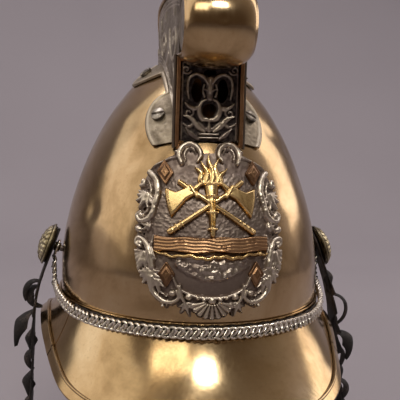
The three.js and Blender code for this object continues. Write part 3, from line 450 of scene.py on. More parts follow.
# %% Brim surface
BRIM_ROWS = [(0, 39, 50), (22, 38, 49), (45, 29.5, 42), (66, 16.5, 29), (90, 13.5, 13),
             (112, 18, 18), (135, 29, 33), (158, 44, 47), (180, 52, 52)]
ROUND = BRIM_ROWS + [(360 - turn, reach, drop) for turn, reach, drop in BRIM_ROWS[-2:0:-1]]
BEFORE = [(-turn, reach, drop) for turn, reach, drop in BRIM_ROWS[-2:0:-1]]
brim_line = spline(BEFORE + ROUND + [(360 + turn, reach, drop) for turn, reach, drop in BRIM_ROWS])
BRIM_COUNT = len(BEFORE) + len(ROUND) + len(BRIM_ROWS) - 1
COLLAR_SHARE, PEAK_ENDS, SEAM_PLAY = 1 / 6, 3.0, 0.012


def brim_middle(row, v):
    """The sheet's middle: v runs down the collar to its share, and from there out to the edge."""
    row, v = np.broadcast_arrays(np.asarray(row, float), np.asarray(v, float))
    turn, reach, drop = np.moveaxis(brim_line((row + len(BEFORE)) / BRIM_COUNT), -1, 0)
    turn, stand = np.radians(turn), GAP + SHEET / 2
    flare = np.clip((v - COLLAR_SHARE) / (1 - COLLAR_SHARE), 0, 1)
    out = (1 - flare) ** 2 * stand + 2 * flare * (1 - flare) * (stand + 0.3 * reach) + flare ** 2 * reach
    down = 2 * flare * (1 - flare) * 0.5 * drop + flare ** 2 * drop
    z = np.where(v < COLLAR_SHARE, SEAM_Z + COLLAR * (1 - v / COLLAR_SHARE), SEAM_Z - down)
    return np.stack([(HALF_WIDTH + out) * np.sin(turn), -(HALF_LENGTH + out) * np.cos(turn), z], -1)


def brim_normal(row, v, step=0.01):
    w = np.maximum(v, step)
    along = brim_middle(row + step, v) - brim_middle(row - step, v)
    down = brim_middle(row, np.minimum(1, w + step)) - brim_middle(row, w - step)
    return unit(np.cross(down, along))


def brim_wave(p, v):
    """Up and down bends in millimetres, none at the collar and most towards the edge."""
    free = smooth(v, 0.25, 0.8)
    return free * (0.7 * ripple(p, 85, 21) + 0.25 * ripple(p, 30, 22))


def brim_sheet(start, end, columns, rows=44):
    u, v = grid(columns, rows)
    row = mix(start, end, u)
    middle, normal = brim_middle(row, v), brim_normal(row, v)
    wave = brim_wave(middle, v)
    return shell(middle + (wave + SHEET / 2)[..., None] * normal, middle + (wave - SHEET / 2)[..., None] * normal)


peak_span = (-PEAK_ENDS + SEAM_PLAY, PEAK_ENDS - SEAM_PLAY)
guard_span = (PEAK_ENDS + SEAM_PLAY, len(ROUND) - PEAK_ENDS - SEAM_PLAY)
piece_of("peak_sheet", brim_sheet(*peak_span, 180), brim_brass, stands_for=["peak"])
piece_of("neck_guard_sheet", brim_sheet(*guard_span, 260), brim_brass, stands_for=["neck_guard"])

# %% [markdown]
# ## Edge bindings
# The brim's edge is wrapped in a folded strip, with a raised bead along its inner side. It is a profile carried along
# the edge: a sweep keeps the fold's rounded nose and the bead exactly the same all the way round.

# %% Bindings
def binding_profile(width=7.5, wall=0.8, lip=1.1, bead=1.15):
    inside, outside = SHEET / 2 + GAP, SHEET / 2 + GAP + wall
    nose = [(-lip * math.cos(a), outside * math.sin(a)) for a in np.linspace(-math.pi / 2, math.pi / 2, 11)]
    seat = width - bead
    ridge = [(seat - bead * math.cos(a), outside - 0.3 + bead * math.sin(a)) for a in np.linspace(0.3, math.pi, 9)]
    return ([(width, -outside)] + nose[:1] + nose[1:] + ridge
            + [(width, outside - 0.3), (width, inside), (-0.3, inside), (-0.3, -inside), (width, -inside)])


def edge_binding(start, end, steps):
    row = np.linspace(start, end, steps)
    edge, normal = brim_middle(row, 1.0), brim_normal(row, 1.0)
    edge = edge + brim_wave(edge, 1.0)[:, None] * normal
    inner = brim_middle(row, 1 - COLLAR_SHARE)
    inner = inner + brim_wave(inner, 1 - COLLAR_SHARE)[:, None] * normal
    return sweep(binding_profile(), edge, unit(inner - edge), normal)


piece_of("peak_edge_binding", edge_binding(*peak_span, 260), brim_brass, stands_for=["peak_binding"])
piece_of("guard_edge_binding", edge_binding(*guard_span, 340), brim_brass,
         stands_for=["neck_guard_binding"])

# %% [markdown]
# ## Ornament
# Badge, comb and bosses carry scrolls, leaves and beads that were cast or struck. They are worked out as heights over
# a flat sheet: each stroke follows a path and rises to a rounded ridge, and where strokes cross the higher one wins.
# The same heights are kept on the points as a mark called relief, so that the finish can darken the hollows and
# rub the high spots bright. A bump map alone would leave the outlines flat.

# %% Strokes
class Carving:
    """Heights over a flat grid of places (a, b), built up from strokes."""

    def __init__(self, a, b, ground=0.0):
        self.a, self.b = a, b
        self.height = np.zeros(a.shape) + ground
        self.reach = np.full(a.shape, 99.0)  # how far each place lies outside the nearest stroke

    def stroke(self, path, widths, height, edge=0.5):
        """A ridge along a path, its half width running from the first of widths to the last."""
        path = np.asarray(path, float)
        if 4 <= len(path) <= 14:  # a few points stand for a smooth curve
            path = spline(path)(np.linspace(0, 1, 5 * len(path)))
        most = max(widths) + 3
        (low_a, low_b), (high_a, high_b) = path.min(0) - most, path.max(0) + most
        near = (self.a > low_a) & (self.a < high_a) & (self.b > low_b) & (self.b < high_b)
        if not near.any():
            return
        a, b = self.a[near], self.b[near]
        lengths = np.linalg.norm(np.diff(path, axis=0), axis=1)
        total = max(lengths.sum(), 1e-6)
        away, share, done = np.full(a.shape, 1e9), np.zeros(a.shape), 0.0
        for p, q, length in zip(path, path[1:], lengths):
            d = q - p
            t = np.clip(((a - p[0]) * d[0] + (b - p[1]) * d[1]) / max(length ** 2, 1e-9), 0, 1)
            distance = np.hypot(a - p[0] - t * d[0], b - p[1] - t * d[1])
            share = np.where(distance < away, (done + t * length) / total, share)
            away = np.minimum(distance, away)
            done += length
        width = np.interp(share, np.linspace(0, 1, len(widths)), widths)
        ridge = height * np.clip(1 - (away / width) ** 2, 0, 1) ** edge
        self.height[near] = np.maximum(self.height[near], ridge)
        self.reach[near] = np.minimum(self.reach[near], away - width)

    def bead(self, place, radius, height):
        self.stroke([place, (place[0] + 1e-3, place[1])], (radius, radius), height)

    def both(self, path, widths, height, edge=0.5):
        """The same stroke on both sides of the middle line."""
        path = np.asarray(path, float)
        self.stroke(path, widths, height, edge)
        self.stroke(path * (-1, 1), widths, height, edge)

    def leaf(self, root, angle, length, height, blades=5, spread=75, mirror=True):
        """A fan of curling blades from one root, the middle one longest."""
        for k in range(blades):
            lean = (k / (blades - 1) - 0.5) * 2 if blades > 1 else 0
            size = length * (1 - 0.42 * abs(lean))
            way = math.radians(angle + spread * lean / 2)
            curl = math.radians(26 * lean)
            t = np.linspace(0, 1, 7)[:, None]
            turn = way + curl * t[:, 0]
            path = np.asarray(root) + size * t * np.stack([np.cos(turn), np.sin(turn)], 1)
            blade = (0.1 * length + 0.25, 0.16 * length + 0.3, 0.1 * length, 0.25)
            (self.both if mirror else self.stroke)(path, blade, height * (1 - 0.25 * abs(lean)))


def spiral(centre, radii, angles, steps=26):
    """A scroll's path, from its open end in to its eye."""
    share = np.linspace(0, 1, steps)
    radius = radii[0] * (radii[1] / radii[0]) ** share
    angle = np.radians(mix(angles[0], angles[1], share))
    return np.stack([centre[0] + radius * np.cos(angle), centre[1] + radius * np.sin(angle)], 1)


def ease_outline(a, b, keep, rounds=5):
    """Draws the stepped outline of the kept cells into a smooth line."""
    kept = np.pad(keep, 1)
    along_a = kept[1:-1, :-1] != kept[1:-1, 1:]
    along_b = kept[:-1, 1:-1] != kept[1:, 1:-1]
    for _ in range(rounds):
        eased = []
        for places in (a, b):
            total, count = np.zeros(places.shape), np.zeros(places.shape)
            for here, there, edges in ((np.s_[:-1], np.s_[1:], along_a), (np.s_[:, :-1], np.s_[:, 1:], along_b)):
                for to, source in ((here, there), (there, here)):
                    total[to] += np.where(edges, places[source], 0)
                    count[to] += edges
            eased.append(np.where(count > 1, 0.5 * places + 0.5 * total / np.maximum(count, 1), places))
        a, b = eased
    return a, b

# %% [markdown]
# ## Comb
# The comb is two upright plates stamped with running scrollwork, joined over the top by a smooth rolled cap that
# swells into a round nose. Lobed flanges along the plates' feet lie on the skull and take the screws. Plates this
# thin were struck in dies, so the ornament shows as crisp ridges with reeded lines along the borders.

# %% Comb outline
FRONT_HALF, COMB_HALF, REAR_HALF = 20.6, 24.0, 11.0
FRONT_Y, NOSE_Y, NOSE_Z, NOSE_RADIUS = -86.0, -102.0, 245.0, 18.0
ROOT_TURNS = (43.5, 160.0)
TOP_EDGE = [(-64, 268), (-20, 267), (30, 255), (68, 228), (95, 190), (110, 150), (114, 116)]
top_edge = spline([(NOSE_Y, NOSE_Z + NOSE_RADIUS)] + TOP_EDGE)
SCREW_TURNS, LOBE_TURNS = (53.0, 84.0, 124.0), (50.2, 84.0, 124.0)
LOBE, LOBE_SPREAD, FLANGE_WIDTH = 17.0, 10.5, 3.0


def comb_half(y):
    return np.where(y < 0, mix(FRONT_HALF, COMB_HALF, smooth(y, FRONT_Y, 0)),
                    mix(COMB_HALF, REAR_HALF, smooth(y, 0, TOP_EDGE[-1][0])))


def root_half(over):
    return comb_half(beside_comb(over, 0.0)[..., 1])


shares = np.linspace(0, 0.5, 4000)
PLATE_START = float(shares[np.argmax(top_edge(shares)[:, 0] >= FRONT_Y + GAP)])
print("the plates start", round(PLATE_START, 3), "along the top edge")


# %% Comb plates
def scrollwork(y, z):
    """Running scrolls from the nose to the back, with leaves in their forks."""
    work = Carving(y, z)
    stems = [(-62, 238, 19, 20), (-24, 236, 19, 200), (14, 228, 18, 20), (48, 206, 16, 200), (74, 180, 13, 20),
             (92, 152, 9.5, 200)]
    for k, (cy, cz, size, start) in enumerate(stems):
        way = 1 if k % 2 else -1
        work.stroke(spiral((cy, cz), (size, 2.4), (start, start + way * 560), 44), (2.3, 1.9, 1.2), 1.1)
        work.bead((cy, cz), 2.4, 1.5)
        for angle in (70, 160, 250, 340):
            a = math.radians(angle + start)
            root = (cy + 0.86 * size * math.cos(a), cz + 0.86 * size * math.sin(a))
            work.leaf(root, angle + start + 30 * way, 0.62 * size, 1.0, blades=3, spread=70, mirror=False)
    for y0, z0, angle in ((-80, 205, 70), (-79, 190, 100), (-44, 212, 250),
                          (-6, 246, 90), (30, 240, 60), (62, 222, 40)):
        work.leaf((y0, z0), angle, 11, 1.0, blades=5, spread=120, mirror=False)
    return work


def comb_plate(side, columns=300, rows=120):
    u, v = grid(columns, rows)
    over = mix(*ROOT_TURNS, u)
    root = lift(beside_comb(over, root_half(over)), GAP + 1 / 3)
    top = top_edge(mix(PLATE_START, 1, u))
    y, z = mix(root[..., 1], top[..., 0], v), mix(root[..., 2], top[..., 1] - GAP, v)
    tall = np.maximum(top[..., 1] - root[..., 2], 1)
    from_root, from_top = v * tall, (1 - v) * tall
    work = scrollwork(y, z)
    reeds = np.maximum(np.cos((from_root - 4.2) * 2 * np.pi / 2.6) * (np.abs(from_root - 4.2) < 3.3),
                       np.cos((from_top - 5.0) * 2 * np.pi / 2.6) * (np.abs(from_top - 5.0) < 3.3))
    clear = smooth(np.minimum(from_root, from_top), 7.5, 9.0)
    pebbles = 0.12 * ripple(np.stack([y, z, 0 * y], -1), 2.2, 31)
    raised = np.maximum(work.height * clear, 0.8 * np.maximum(reeds, 0)) + pebbles * clear
    raised *= smooth(np.minimum(u, 1 - u) * 200, 0.5, 3)
    x = comb_half(y)
    outer = np.stack([side * (x + raised), y, z], -1)
    inner = np.stack([side * (x - SHEET + 0.6 * raised), y, z], -1)
    return shell(outer, inner, marks={"relief": 0.35 + 0.5 * raised})


def flange(side, columns=420, rows=34):
    """The lobed foot on the skull: a textured field inside a raised rim."""
    u, v = grid(columns, rows)
    over = mix(*ROOT_TURNS, u)
    half = root_half(over)

    def edge(turn):
        lobe = np.max([np.sqrt(np.maximum(0, 1 - ((turn - at) / LOBE_SPREAD) ** 2)) for at in LOBE_TURNS], axis=0)
        foot = root_half(turn)
        return foot + FLANGE_WIDTH + LOBE * lobe * foot / COMB_HALF

    x = mix(half - SHEET, edge(over), v)
    turns = np.linspace(*ROOT_TURNS, 700)
    mm_per_degree = 2.25
    rim = Carving(over * mm_per_degree, x)
    rim.stroke(np.stack([turns * mm_per_degree, edge(turns) - 1.5], 1)[::3], (1.25, 1.25), 0.85)
    field = smooth(edge(over) - x, 2.5, 4) * smooth(x - half, 0.5, 2)
    grain = field * (0.10 * ripple(np.stack([over * mm_per_degree, x, 0 * x], -1), 3.0, 33)
                     + 0.05 * ripple(np.stack([over * mm_per_degree, x, 0 * x], -1), 1.5, 34))
    raised = rim.height + grain
    seat = beside_comb(over, x)
    flip = (side, 1, 1)
    return shell(lift(seat, GAP + 1.0 + raised) * flip, lift(seat, np.full(x.shape, GAP)) * flip,
                 marks={"relief": 0.42 + 0.6 * raised})


def nose_side(side):
    """The flat disc that closes the nose at the side, with a stepped moulding."""
    centre = np.array([side * FRONT_HALF, NOSE_Y, NOSE_Z])
    radius = NOSE_RADIUS - GAP
    profile = [(0, -SHEET), (radius, -SHEET), (radius, 0), (radius - 1.2, 0.5), (radius - 2.4, 0.1),
               (radius - 3.4, 0.7), (radius - 4.8, 0.1), (9, 0.2), (7.6, 0.8), (6.2, 0.3), (3.4, 0.6), (0, 1.0)]
    return turned(profile, centre, np.array([side, 0, 0.0]), 72)


for side, label in ((-1, "left"), (1, "right")):
    piece_of("comb_plate_" + label, [comb_plate(side), nose_side(side)], plate_brass,
             stands_for=["comb_wing_" + label], corner=50)
    piece_of("comb_flange_" + label, flange(side), flange_brass, corner=50)

# %% [markdown]
# ## Front mouldings
# A plain strip stands up each side of the comb's open front. Its colour is redder than everything round it, because
# brass that is cleaned with acid loses zinc and shows its copper. Each is a bar with rounded long edges.

# %% Front mouldings
def front_strip(side, inner, outer, front, back, low, high, soft=0.8):
    corners = [(inner, front), (outer, front), (outer, back), (inner, back)]
    outline = []
    for k, (x, y) in enumerate(corners):
        for a in np.linspace(0, math.pi / 2, 5):
            turn = math.pi * (1 + k / 2) + a
            cx = np.clip(x, inner + soft, outer - soft)
            cy = np.clip(y, front + soft, back - soft)
            outline.append((cx + soft * math.cos(turn), cy + soft * math.sin(turn)))
    z = np.linspace(low, high, 40)
    bow = 0.12 * np.sin(z / 9.0)
    origin = np.stack([side * bow, 0 * z, z], 1)
    across = np.tile([side, 0.0, 0.0], (len(z), 1))
    up = np.tile([0.0, 1.0, 0.0], (len(z), 1))
    return sweep(outline, origin, across, up)


strips = [front_strip(side, 19.5, 22.0, -86.4, -82.0, 168, 226.6) for side in (-1, 1)]
piece_of("comb_front_strips", strips, copper_strip)
beadings = [front_strip(side, 22.1, 23.6, -85.4, -81.0, 167, 226.6, 0.7) for side in (-1, 1)]
piece_of("comb_front_beadings", beadings, plate_brass)

# %% [markdown]
# ## Rolled cap and nose
# The cap was raised over a stake, so it is fat and smooth in front, thins towards the back, and shows hammer
# unevenness only in its reflections. A narrow bead along both edges stiffens it and hides the joint.

# %% Cap
ROOF_SHARE, NOSE_SHARE = 1 / 24, 9 / 24


def cap_line(u):
    u = np.asarray(u, float)
    angle = np.pi * np.clip((u - ROOF_SHARE) / (NOSE_SHARE - ROOF_SHARE), 0, 1)
    nose = np.stack([NOSE_Y - np.sin(angle) * NOSE_RADIUS, NOSE_Z - np.cos(angle) * NOSE_RADIUS], -1)
    roof = np.stack([mix(FRONT_Y, NOSE_Y, u / ROOF_SHARE), np.full(u.shape, NOSE_Z - NOSE_RADIUS)], -1)
    top = top_edge((u - NOSE_SHARE) / (1 - NOSE_SHARE))
    return np.where((u < ROOF_SHARE)[..., None], roof, np.where((u < NOSE_SHARE)[..., None], nose, top))


def cap_shell(columns=340, rows=64, step=2e-3):
    u, v = grid(columns, rows)
    line = cap_line(u)
    along = cap_line(np.minimum(1, u + step)) - cap_line(np.maximum(0, u - step))
    outwards = unit(np.stack([-along[..., 1], along[..., 0]], -1))
    crown = mix(10.0, 5.0, smooth(line[..., 0], 0, TOP_EDGE[-1][0]))
    across = np.pi * (v - 0.5)

    def face(offset):
        x = (comb_half(line[..., 0]) + 2 + offset) * np.sin(across)
        out = (crown + offset) * np.cos(across)
        return np.stack([x, line[..., 0] + outwards[..., 0] * out, line[..., 1] + outwards[..., 1] * out], -1)

    outer = face(0.0)
    bead = 0.55 * np.exp(-((np.minimum(v, 1 - v) * 62 - 2.2) / 1.0) ** 2)
    # an even rise and fall, and one deep knock on the nose
    knock = np.linalg.norm(outer - (0, -128, 246), axis=-1)
    uneven = -0.10 * (1 + ripple(outer, 26, 41)) - 0.9 * np.exp(-(knock / 2.2) ** 2)
    return shell(face(bead - 0.5 + uneven), face(np.full(u.shape, -SHEET - 0.5) + uneven))


piece_of("comb_rolled_cap", cap_shell(), skull_brass, stands_for=["comb_roll"], corner=50)

# %% [markdown]
# ## Pierced front
# Between the mouldings a cast panel lets air into the comb. Scrolls and leaves grow from a banded collar at its foot
# and wind round four openings. It is one carving with the openings left out of the grid.

# %% Pierced panel
PANEL_HALF, PANEL_BACK, PANEL_LOW, PANEL_HIGH = 19.0, -82.4, 171.7, 226.0
OPENINGS = [(-8.4, 204, 3.4, 7.6), (8.4, 204, 3.4, 7.6), (0, 191.5, 4.2, 4.4), (0, 215.5, 4.2, 2.0)]


def pierced_panel(step=0.36):
    x, z = np.meshgrid(np.arange(-PANEL_HALF, PANEL_HALF + 0.01, step),
                       np.arange(PANEL_LOW, PANEL_HIGH + 0.01, step), indexing="ij")
    work = Carving(x, z)
    # the collar bands and the leaf cup over them
    for height, width in ((174.0, 0.9), (176.3, 0.9)):
        work.stroke([(-6, height), (6, height)], (width, width), 1.5)
    work.leaf((0, 178), 90, 8, 1.9, blades=3, spread=60, mirror=False)
    work.both([(3, 178), (7, 181), (12, 186.5), (16.5, 188)], (1.0, 2.2, 2.0, 0.7), 1.9)
    work.both([(2, 179), (5, 182), (9, 183.5), (13, 181), (17, 183)], (0.8, 1.5, 1.5, 0.6), 1.5)
    work.both([(7, 173), (11, 176), (15, 180)], (1.2, 1.8, 0.6), 1.3)
    # two hooked scrolls round the lower opening
    work.both([(1.0, 185.6), (4.2, 186.2), (6.4, 189.5), (6.6, 193.6), (4.6, 197.4), (2.4, 198.6)],
              (1.6, 2.2, 2.0, 1.6, 1.2, 0.8), 2.0)
    work.both([(6.4, 193.6), (10, 192.6), (13.4, 193.8), (16, 196.2)], (1.4, 1.8, 1.4, 0.6), 1.7)
    work.both(spiral((13.4, 189.8), (3.2, 1.0), (150, 520), 22), (1.0, 0.8), 1.5)
    # the centre spine and the arms over the upper openings
    work.stroke([(0, 199.5), (0, 211)], (2.2, 3.0, 2.6), 1.5)
    work.leaf((0, 203), 90, 9, 2.0, blades=3, spread=80, mirror=False)
    work.both([(1.5, 209), (4.8, 213.2), (9.5, 214.6), (13.5, 212), (14.6, 206), (13.6, 199)],
              (1.0, 1.4, 1.3, 1.2, 1.1, 0.7), 1.7)
    work.both([(3.6, 200.5), (5.0, 204), (3.8, 208)], (1.0, 1.1, 0.8), 1.6)
    work.both(spiral((15.6, 217.6), (3.4, 1.0), (200, 620), 24), (1.0, 0.7), 1.4)
    work.both([(6, 219), (10, 222.5), (14.6, 223.4)], (1.0, 1.3, 0.8), 1.2)
    work.both([(17.9, 173), (17.9, 225)], (0.8, 0.8), 0.9)
    open_cells = np.zeros(x.shape, bool)
    for cx, cz, rx, rz in OPENINGS:
        wavy = 1 + 0.12 * np.sin(3 * np.arctan2(z - cz, x - cx) + cx)
        open_cells |= ((x - cx) / rx) ** 2 + ((z - cz) / rz) ** 2 < wavy
    solid = ~(open_cells[:-1, :-1] | open_cells[1:, 1:])
    x, z = ease_outline(x, z, solid)
    uneven = 0.15 * ripple(np.stack([x, z, 0 * x], -1), 3.2, 51)
    height = work.height + uneven
    front = np.stack([x, PANEL_BACK - 0.9 - np.maximum(height, -0.3), z], -1)
    back = np.stack([x, np.full(x.shape, PANEL_BACK), z], -1)
    return shell(front, back, solid, marks={"relief": 0.1 + 0.42 * height})


piece_of("comb_pierced_panel", pierced_panel(), dark_brass, stands_for=["comb_grille"], corner=60)

# %% [markdown]
# ## Badge
# The badge is a casting, curved to the skull: a lobed cartouche of scrolls, beads and leaves round a pebbled field,
# with a smooth crescent under it. The plate's outline is not drawn by hand. A cell stays if it belongs to the inner
# field or lies close to a stroke, so the edge follows the scrolls as a trimmed casting does.

# %% Badge plate
BADGE_Z, BADGE_HALF, BADGE_TALL, BADGE_SQUARE = 114.0, 46.0, 51.5, 2.5
PLATE_BASE = 1.5 * GAP
PLATE_FACE = PLATE_BASE + 1.6


def oval(x, z, share=1.0):
    """1 on the badge's outline at that share of its size, and less inside."""
    return (np.abs(x / (BADGE_HALF * share)) ** BADGE_SQUARE
            + np.abs((z - BADGE_Z) / (BADGE_TALL * share)) ** BADGE_SQUARE) ** (1 / BADGE_SQUARE)


SHOULDER = [(0, 163.6), (20, 163.6), (25, 162.2), (31.5, 158.6), (37, 154.4), (40, 150)]


def pebbled(a, b, size_mm, seed):
    """Rounded grains at random heights, that far apart."""
    heights = np.random.default_rng(seed).random((128, 128))
    i, j = a / size_mm + 60, b / size_mm + 20
    i0, j0 = np.floor(i).astype(int) % 127, np.floor(j).astype(int) % 127
    s, t = smooth(i - np.floor(i), 0, 1), smooth(j - np.floor(j), 0, 1)
    low = mix(heights[i0, j0], heights[i0 + 1, j0], s)
    return 2 * mix(low, mix(heights[i0, j0 + 1], heights[i0 + 1, j0 + 1], s), t) - 1


def cartouche(x, z):
    work = Carving(x, z)
    # the smooth crescent's rim, and the shell with its beads at the foot
    work.stroke(spline([(-24, 90), (-20, 82.5), (-11, 77.8), (0, 76.4), (11, 77.8), (20, 82.5), (24, 90)])(
        np.linspace(0, 1, 50)), (0.9, 1.2, 1.3, 1.2, 0.9), 2.0)
    for k, angle in enumerate(np.linspace(196, 344, 9)):
        a = math.radians(angle)
        start, end = (4.5 * math.cos(a), 74.6 + 2.5 * math.sin(a)), (12 * math.cos(a), 74.6 + 10.2 * math.sin(a))
        work.stroke([start, end], (0.7, 1.9), 2.7 - 0.1 * abs(k - 4))
    for place, eye in (((0, 74.8), 2.6), ((4.9, 75.6), 1.7), ((8.6, 76.6), 1.5)):
        work.bead(place, eye, 2.9)
        work.bead((-place[0], place[1]), eye, 2.9)
    # double rim over the shoulders, and opposed loops on top
    work.both([(40, 150), (37, 154.4), (31.5, 158.6), (25, 162.2), (20, 163.6)], (1.2, 1.4, 1.3, 1.0), 2.3)
    work.both([(36.6, 150.5), (34, 153.4), (29.5, 156.4), (23.5, 159.2), (19.5, 160.2)], (0.7, 0.8, 0.6), 1.6)
    loop = [(17.2, 156.5), (18.6, 161.5), (16.6, 166.3), (11.8, 168.6), (7.2, 166.2), (5.4, 161.4), (7.6, 157.8)]
    work.both(loop, (1.5, 1.9, 1.8, 1.1), 2.7)
    work.both([(14.6, 158.5), (15.4, 162), (13.2, 165.2), (10.4, 165.6), (8.6, 163)], (0.6, 0.9, 0.6), 1.8)
    # volutes down the sides, each with a leaf inside it, and a ball between them
    work.both([(33.2, 131.5), (31.6, 139), (32.8, 146.5), (37.5, 150.8), (42.4, 149.6), (44.3, 145.4), (42.6, 141.8),
               (39.6, 142.2), (38.9, 144.6)], (1.7, 2.2, 2.0, 1.5, 1.0), 2.9)
    work.both([(36.2, 133.5), (35.2, 139.5), (36.4, 145)], (0.5, 0.9, 0.5), 2.2)
    work.both([(33.6, 133), (34.6, 127), (38, 121.9), (42.2, 120.6), (43.9, 123.6), (41.6, 126)],
              (1.6, 1.9, 1.6, 1.0), 2.8)
    work.both([(37.2, 129.4), (38.2, 126.2), (40.4, 124.4)], (0.5, 0.8, 0.5), 1.9)
    work.leaf((37.6, 137.2), -62, 11, 2.5, blades=7, spread=110)
    work.leaf((36.6, 117.5), 15, 6.5, 2.0, blades=5, spread=120)
    work.both([(35.6, 94), (37, 102.5), (39.6, 108.8), (43.2, 110.4), (44.2, 107.2), (41.8, 105.2)],
              (2.2, 2.1, 1.7, 1.1), 2.9)
    work.both([(34.4, 112.5), (36, 106), (33.6, 99)], (0.9, 1.2, 0.8), 1.9)
    for root, angle, size, blades in (((40, 102), -72, 14, 7), ((37.4, 92), -96, 13, 7), ((41, 98), -50, 7, 5),
                                      ((32.5, 86.5), -100, 9, 5), ((15.8, 73), -108, 8.5, 5),
                                      ((26, 74.5), -80, 5, 5)):
        work.leaf(root, angle, size, 2.4, blades=blades, spread=115)
    work.both([(35.4, 88), (34.8, 80), (30, 74.6), (24, 73.2), (19.8, 76.4), (21, 80.8)], (1.4, 1.9, 1.8, 1.0), 2.8)
    work.both([(31.8, 85), (30.6, 79.6), (26.4, 77)], (0.5, 0.9, 0.5), 1.9)
    work.both([(19.4, 83.5), (18.2, 77), (15.4, 72.4)], (1.2, 1.5, 1.1), 2.4)
    for place, eye in (((40.2, 144.2), 2.3), ((41.4, 123.8), 1.9), ((42.9, 115.6), 2.4), ((42.2, 107.4), 1.8),
                       ((23.4, 79.0), 2.3), ((14.0, 77.0), 2.3), ((28.6, 70.8), 1.3)):
        work.bead(place, eye, 3.1)
        work.bead((-place[0], place[1]), eye, 3.1)
    return work


def hollow_edge(x):
    """The height at which the smooth hollow ends and the broken ground begins."""
    return 85.5 + 0.017 * x ** 2


def mound(x, z):
    """Broken ground under the log, on a smooth hollow."""
    low = hollow_edge(x)
    inside = smooth(z, low, low + 2.5) * (1 - smooth(z, 100, 102)) * (1 - smooth(np.abs(x), 20, 24))
    clods = 1.2 * pebbled(x, 1.4 * z, 3.4, 61) + 0.7 * pebbled(x, z, 1.5, 62)
    flower = 0.8 * np.exp(-((x - 2) / 5) ** 2 - ((z - 89.5) / 3) ** 2)
    return inside * (1.1 + 0.6 * clods + flower)


def badge_plate(columns=236, rows=264):
    a, b = np.meshgrid(np.linspace(-1, 1, columns), np.linspace(-1, 1, rows), indexing="ij")
    ring = np.maximum(np.abs(a), np.abs(b))
    size = (np.abs(a) ** BADGE_SQUARE + np.abs(b) ** BADGE_SQUARE) ** (1 / BADGE_SQUARE)
    share = ring / np.maximum(size, 1e-9)
    x, z = BADGE_HALF * a * share, BADGE_Z + BADGE_TALL * b * share
    solid = oval(x, z) < 0.999
    z = z + 5.0 * smooth(z - BADGE_Z, 40, BADGE_TALL) * (1 - smooth(np.abs(x), 18, 22))
    work = cartouche(x, z)
    hollow = (z < hollow_edge(x)) & (np.abs(x) < 24)
    field = (1 - smooth(oval(x, z, 0.78), 0.95, 1.0)) * (z > 100)
    pebbles = 0.24 * pebbled(x, z, 1.15, 63) + 0.12 * pebbled(x, z, 2.6, 64)
    between = 0.3 * pebbled(x, z, 2.2, 65) * (1 - field) * ~hollow
    height = np.maximum(work.height, mound(x, z)) + pebbles * field + between
    sunk = (1 - field) * (work.height < 0.15) * ~hollow
    height = height - 0.3 * sunk - 0.5 * (hollow & (work.height < 0.2))
    crown = z < np.interp(np.abs(x), *np.array(SHOULDER).T)
    solid &= (((oval(x, z, 0.87) < 1) | (z > 140)) & crown & (np.abs(x) < 40)) | (work.reach < 0.8)
    solid = solid[:-1, :-1] & solid[1:, 1:]
    x, z = ease_outline(x, z, solid, 4)
    seat = on_front(x, z)
    return shell(lift(seat, PLATE_FACE + height), lift(seat, np.full(x.shape, PLATE_BASE)), solid,
                 marks={"relief": 0.2 + 0.3 * height})


piece_of("badge_cartouche", badge_plate(), brown_cast_brass, stands_for=["badge_plate"],
         corner=70)

# %% [markdown]
# ## Gilded trophy
# In the middle stands a gilded device: crossed fire axes behind an upright torch, over a felled log, with four
# lozenge bosses in the corners of the field. It stands for a brigade's own crest and initials, which are left out.
# Each was a separate small casting riveted to the plate, so each is its own carving cut to its outline.

# %% Applied castings
def applied(name, low, high, carve, finish, stands_for, base=0.35, step=0.34):
    x, z = np.meshgrid(np.arange(low[0], high[0], step), np.arange(low[1], high[1], step), indexing="ij")
    height = carve(x, z)
    solid = height > 0.12
    solid = solid[:-1, :-1] & solid[1:, 1:] & solid[1:, :-1] & solid[:-1, 1:]
    x, z = ease_outline(x, z, solid, 4)
    seat = on_front(x, z)
    foot = PLATE_FACE + base
    part = shell(lift(seat, foot + 0.5 + height), lift(seat, np.full(x.shape, foot - 0.5)), solid,
                 marks={"relief": 0.15 + 0.3 * height})
    return piece_of(name, part, finish, stands_for=stands_for, corner=70)


def slab(x, z, corners, tall, bevel):
    """The height of a flat plate with bevelled edges inside a closed line."""
    corners = np.asarray(corners, float)
    inside, near = np.zeros(x.shape, bool), np.full(x.shape, 1e9)
    for (ax, az), (bx, bz) in zip(corners, np.roll(corners, -1, 0)):
        inside ^= ((az > z) != (bz > z)) & (x < ax + (z - az) * (bx - ax) / (bz - az + 1e-12))
        t = np.clip(((x - ax) * (bx - ax) + (z - az) * (bz - az)) / ((bx - ax) ** 2 + (bz - az) ** 2), 0, 1)
        near = np.minimum(near, np.hypot(x - ax - t * (bx - ax), z - az - t * (bz - az)))
    return np.where(inside, tall * smooth(near, -0.25 * bevel, bevel), 0)


